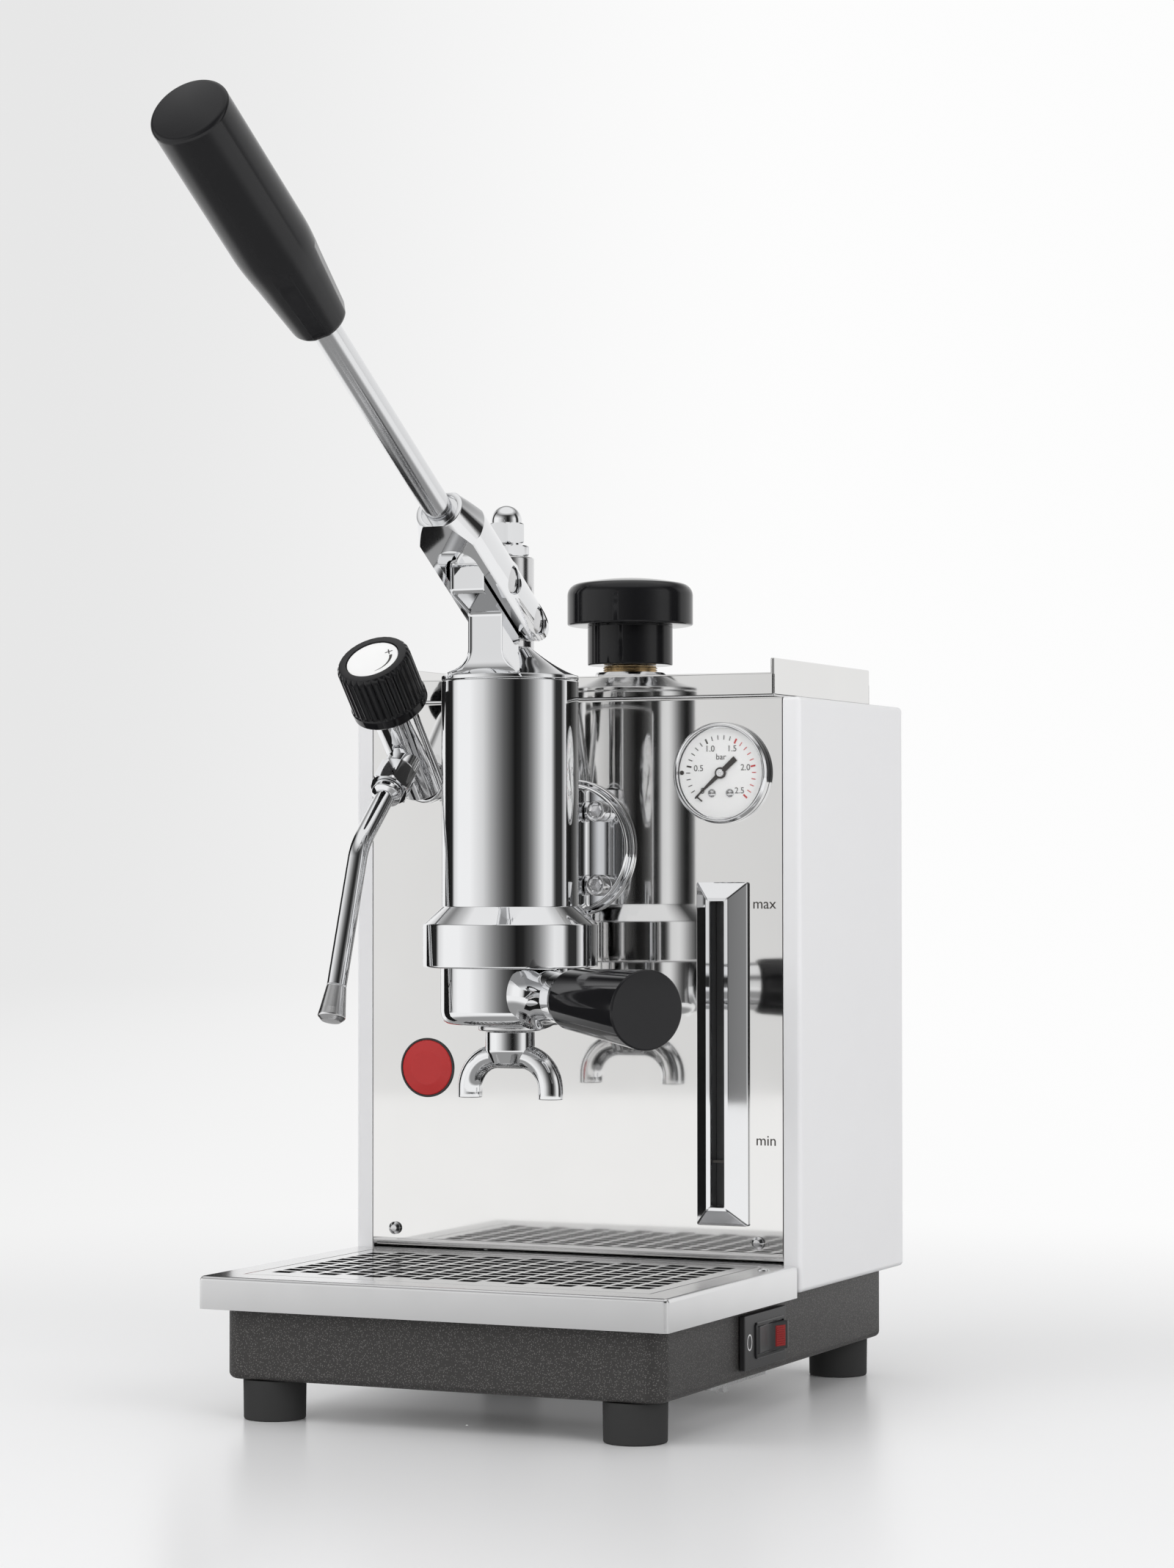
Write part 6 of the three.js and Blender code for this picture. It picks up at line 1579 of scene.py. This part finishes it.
@dataclass
class Studio:
    """Camera, floor, backdrop, lamps and the surround that the metal mirrors, which are sized in metres."""

    camera: tuple[float, float, float] = (659.0, -1425.4, 213.2)
    azimuth: float = 24.60
    pitch: float = 1.244
    roll: float = -0.044
    lens: float = 117.76
    image: tuple[int, int] = (1600, 2137)
    principal_y: float = 1072.7
    floor_reach: float = 2.0
    wall_reach: float = 6.0
    wall_bend: float = 0.9
    wall_top: float = 7.0
    dome: float = 3.4
    aim: tuple[float, float, float] = (0, 0, 0.25)
    card_x: float = -150.0
    card_y: tuple[float, float] = (-72.0, -18.0)
    card_z: tuple[float, float] = (55.0, 290.0)

    def build(self) -> None:
        """Sets the stage."""
        bpy.context.scene.view_settings.view_transform = "Standard"
        self.place_camera()
        self.world()
        self.floor()
        self.lamps()
        self.surround()
        self.card()

    def place_camera(self) -> None:
        """The camera, from its fitted place and angles."""
        data = bpy.data.cameras.new("camera")
        data.sensor_fit, data.sensor_width, data.lens = "HORIZONTAL", 36.0, self.lens
        data.shift_y = (self.principal_y - self.image[1] / 2) / self.image[0]
        data.clip_end = 50.0
        azimuth, pitch, roll = (math.radians(a) for a in (self.azimuth, self.pitch, self.roll))
        facing = (Matrix.Rotation(azimuth, 4, "Z") @ Matrix.Rotation(math.pi / 2 + pitch, 4, "X")
                  @ Matrix.Rotation(roll, 4, "Z"))
        obj = linked("camera", data)
        obj.matrix_world = Matrix.Translation(Vector((np.array(self.camera) + DATUM) * MM)) @ facing
        bpy.context.scene.camera = obj

    @staticmethod
    def world() -> None:
        """A plain world: white where it is seen, in metal or through glass too, and softer as a light."""
        world = bpy.data.worlds.new("studio")
        bpy.context.scene.world = world
        world.use_nodes = True
        tree = world.node_tree
        rays = add(tree, "ShaderNodeLightPath").outputs
        seen = maths(tree, "MAXIMUM", rays["Is Camera Ray"], rays["Is Glossy Ray"])
        seen = maths(tree, "MAXIMUM", seen, rays["Is Transmission Ray"])
        level = add(tree, "ShaderNodeMapRange", {"Value": seen, "To Min": 0.52, "To Max": 1.0})
        wire(tree, tree.nodes["Background"], {"Color": (1, 1, 1, 1), "Strength": level.outputs["Result"]})

    def floor(self) -> None:
        """A round floor that keeps the shadow, and a wall on a quarter-circle bend that is only seen."""
        material = self.backdrop()
        angle = np.arange(SIDES) * 2 * math.pi / SIDES
        unit = np.stack([np.cos(angle), np.sin(angle), np.zeros(SIDES)], -1)
        bend = [(self.wall_reach + self.wall_bend * math.sin(a), self.wall_bend * (1 - math.cos(a)))
                for a in np.linspace(0, math.pi / 2, 12)]
        rows = {"floor": [(0.0005, 0.0), (0.5, 0.0), (1.2, 0.0), (self.floor_reach, 0.0)],
                "wall": [(self.floor_reach, 0.0), *bend, (self.wall_reach + self.wall_bend, self.wall_top)]}
        for name, line in rows.items():
            loops = np.array([unit * r + np.array([0, 0, z]) for r, z in line])
            faces = quads(np.arange(len(line) * SIDES).reshape(-1, SIDES))[:, ::-1]
            obj = meshed(name, loops.reshape(-1, 3), faces.tolist())
            obj.data.polygons.foreach_set("use_smooth", np.ones(len(faces), bool))
            obj.data.materials.append(material)
            if name == "wall":
                obj.visible_diffuse = obj.visible_shadow = obj.visible_glossy = False

    def backdrop(self) -> bpy.types.Material:
        """Floor and wall: a lit pale surface that fades with distance to a glow, whose strength is painted
        light that brightens towards the right; metal sees only the glow, darker near the machine as painted
        shade.

        Returns:
            The material.
        """
        material, tree, shader = blank("backdrop")
        wire(tree, shader,
             {"Base Color": (0.88, 0.88, 0.885, 1), "Roughness": 0.28, "Specular IOR Level": 0.25})
        place = add(tree, "ShaderNodeTexCoord").outputs["Object"]

        def step(source: Socket, low: float, high: float, start: float, end: float) -> Socket:
            """A smooth step of a value."""
            span = {"Value": source, "From Min": low, "From Max": high, "To Min": start, "To Max": end}
            return add(tree, "ShaderNodeMapRange", span, interpolation_type="SMOOTHSTEP").outputs["Result"]

        azimuth = math.radians(self.azimuth)
        right = {0: place, 1: (math.cos(azimuth), math.sin(azimuth), 0)}
        across = add(tree, "ShaderNodeVectorMath", right, operation="DOT_PRODUCT").outputs["Value"]
        away = add(tree, "ShaderNodeVectorMath", {0: place}, operation="LENGTH").outputs["Value"]
        rays = add(tree, "ShaderNodeLightPath").outputs
        mirrored = rays["Is Glossy Ray"]
        # Painted light: the glow seen directly brightens towards the right; in reflections it is painted shade,
        # dark near the machine and pale further out
        shade = {"Factor": mirrored, "A": step(across, -1.2, 0.56, 0.80, 0.98),
                 "B": step(away, 0.30, 0.60, 0.32, 0.97)}
        glow = add(tree, "ShaderNodeEmission",
                   {"Strength": add(tree, "ShaderNodeMix", shade).outputs["Result"]})
        seen = maths(tree, "MAXIMUM", rays["Is Camera Ray"], rays["Is Transmission Ray"])
        far = maths(tree, "MULTIPLY", step(away, 0.28, 0.95, 0.0, 1.0), seen)
        share = maths(tree, "MAXIMUM", far, mirrored)
        mix = add(tree, "ShaderNodeMixShader", {"Fac": share, 1: shader.outputs[0], 2: glow.outputs[0]})
        wire(tree, tree.nodes["Material Output"], {"Surface": mix.outputs[0]})
        return material

    def lamps(self) -> None:
        """Large soft lamps: over the front left, over the right, above and low in front."""
        for name, spot, size, power in (("key", (-1.3, -1.4, 1.5), 1.6, 16.5),
                                        ("fill", (1.9, -0.7, 0.9), 1.4, 17.0),
                                        ("top", (0.1, 0.2, 2.2), 2.0, 8.0),
                                        ("front", (-0.3, -2.5, 0.7), 1.2, 13.5)):
            data = bpy.data.lights.new(name, "AREA")
            data.size, data.energy = size, power
            obj = linked(name, data)
            obj.location = spot
            obj.rotation_euler = (Vector(self.aim) - Vector(spot)).to_track_quat("-Z", "Y").to_euler()
            obj.visible_glossy = obj.visible_camera = False

    @staticmethod
    def mirrored(name: str, points: Array, faces: Sequence[Sequence[int]],
                 material: bpy.types.Material) -> object:
        """A stage mesh that only metal and gloss mirror.

        Args:
            name: The object's name.
            points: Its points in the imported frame, in metres.
            faces: Corner indices of each face.
            material: Its material.

        Returns:
            The object.
        """
        obj = meshed(name, points, faces)
        obj.data.materials.append(material)
        obj.visible_camera = obj.visible_diffuse = obj.visible_shadow = obj.visible_transmission = False
        return obj

    def card(self) -> None:
        """A dark card left of the group."""
        material, tree, shader = blank("flag")
        wire(tree, shader, {"Base Color": (0.01, 0.01, 0.01, 1), "Roughness": 1.0})
        (front, back), (low, high) = self.card_y, self.card_z
        corners = [(self.card_x, y, z) for y, z in ((front, low), (back, low), (back, high), (front, high))]
        self.mirrored("flag", (np.array(corners) + DATUM) * MM, [(0, 1, 2, 3)], material)

    def surround(self) -> None:
        """A dome whose glow follows a table of angles from the front, and one of heights further up."""
        around = ((-180, 0.95), (-132, 0.95), (-124, 0.02), (-112, 0.02), (-106, 0.8), (-95, 1.0), (-70, 1.0),
                  (-45, 0.74), (-31, 0.44), (-19, 0.24), (-9, 0.12), (0, 0.06), (9, 0.012), (18, 0.02),
                  (30, 0.09), (38, 0.23), (46, 0.45), (55, 0.75), (61, 0.9), (74, 0.85), (80, 0.2),
                  (84, 0.03), (97, 0.03), (102, 0.35), (109, 0.85), (180, 0.95))
        material, tree, shader = blank("surround")
        material.cycles.emission_sampling = "NONE"
        tree.nodes.remove(shader)
        shade = add(tree, "ShaderNodeAttribute", attribute_name="shade").outputs["Fac"]
        glow = add(tree, "ShaderNodeEmission", {"Strength": shade})
        wire(tree, tree.nodes["Material Output"], {"Surface": glow.outputs[0]})
        turns, rises = np.linspace(-180, 180, 361)[:-1], np.linspace(-4, 90, 48)
        side = np.interp(turns, *np.array(around).T)[None, :]
        up = np.interp(rises, [0, 24, 42, 58, 90], [0.0, 0.0, 0.75, 1.0, 1.0])[:, None]
        above = np.interp(rises, [0, 36, 44, 52, 62, 90], [0.05, 0.03, 0.05, 0.5, 0.9, 0.9])[:, None]
        glowing = side * (1 - up) + above * up
        centre = (np.array([0, -59.0, 0]) + DATUM) * MM
        flat, lift = np.radians(turns + self.azimuth - 90)[None, :], np.radians(rises)[:, None]
        unit = np.stack([np.cos(lift) * np.cos(flat), np.cos(lift) * np.sin(flat),
                         np.sin(lift) * np.ones_like(flat)], -1)
        faces = quads(np.arange(glowing.size).reshape(glowing.shape))
        obj = self.mirrored("surround", (centre + self.dome * unit).reshape(-1, 3), faces.tolist(), material)
        shades = obj.data.attributes.new("shade", "FLOAT", "POINT")
        shades.data.foreach_set("value", glowing.ravel().astype(np.float32))


def main() -> None:
    """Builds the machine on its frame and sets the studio."""
    logging.basicConfig(level=logging.INFO, format="%(message)s")
    for part in (Base(), Housing(), Tray(), BoilerTop(), Group(), Lever(), Portafilter(), Steam(),
                 Instruments(), Electrics()):
        part.build()
        LOG.info("%s is built", type(part).__name__)
    Studio().build()


if __name__ == "__main__":
    main()
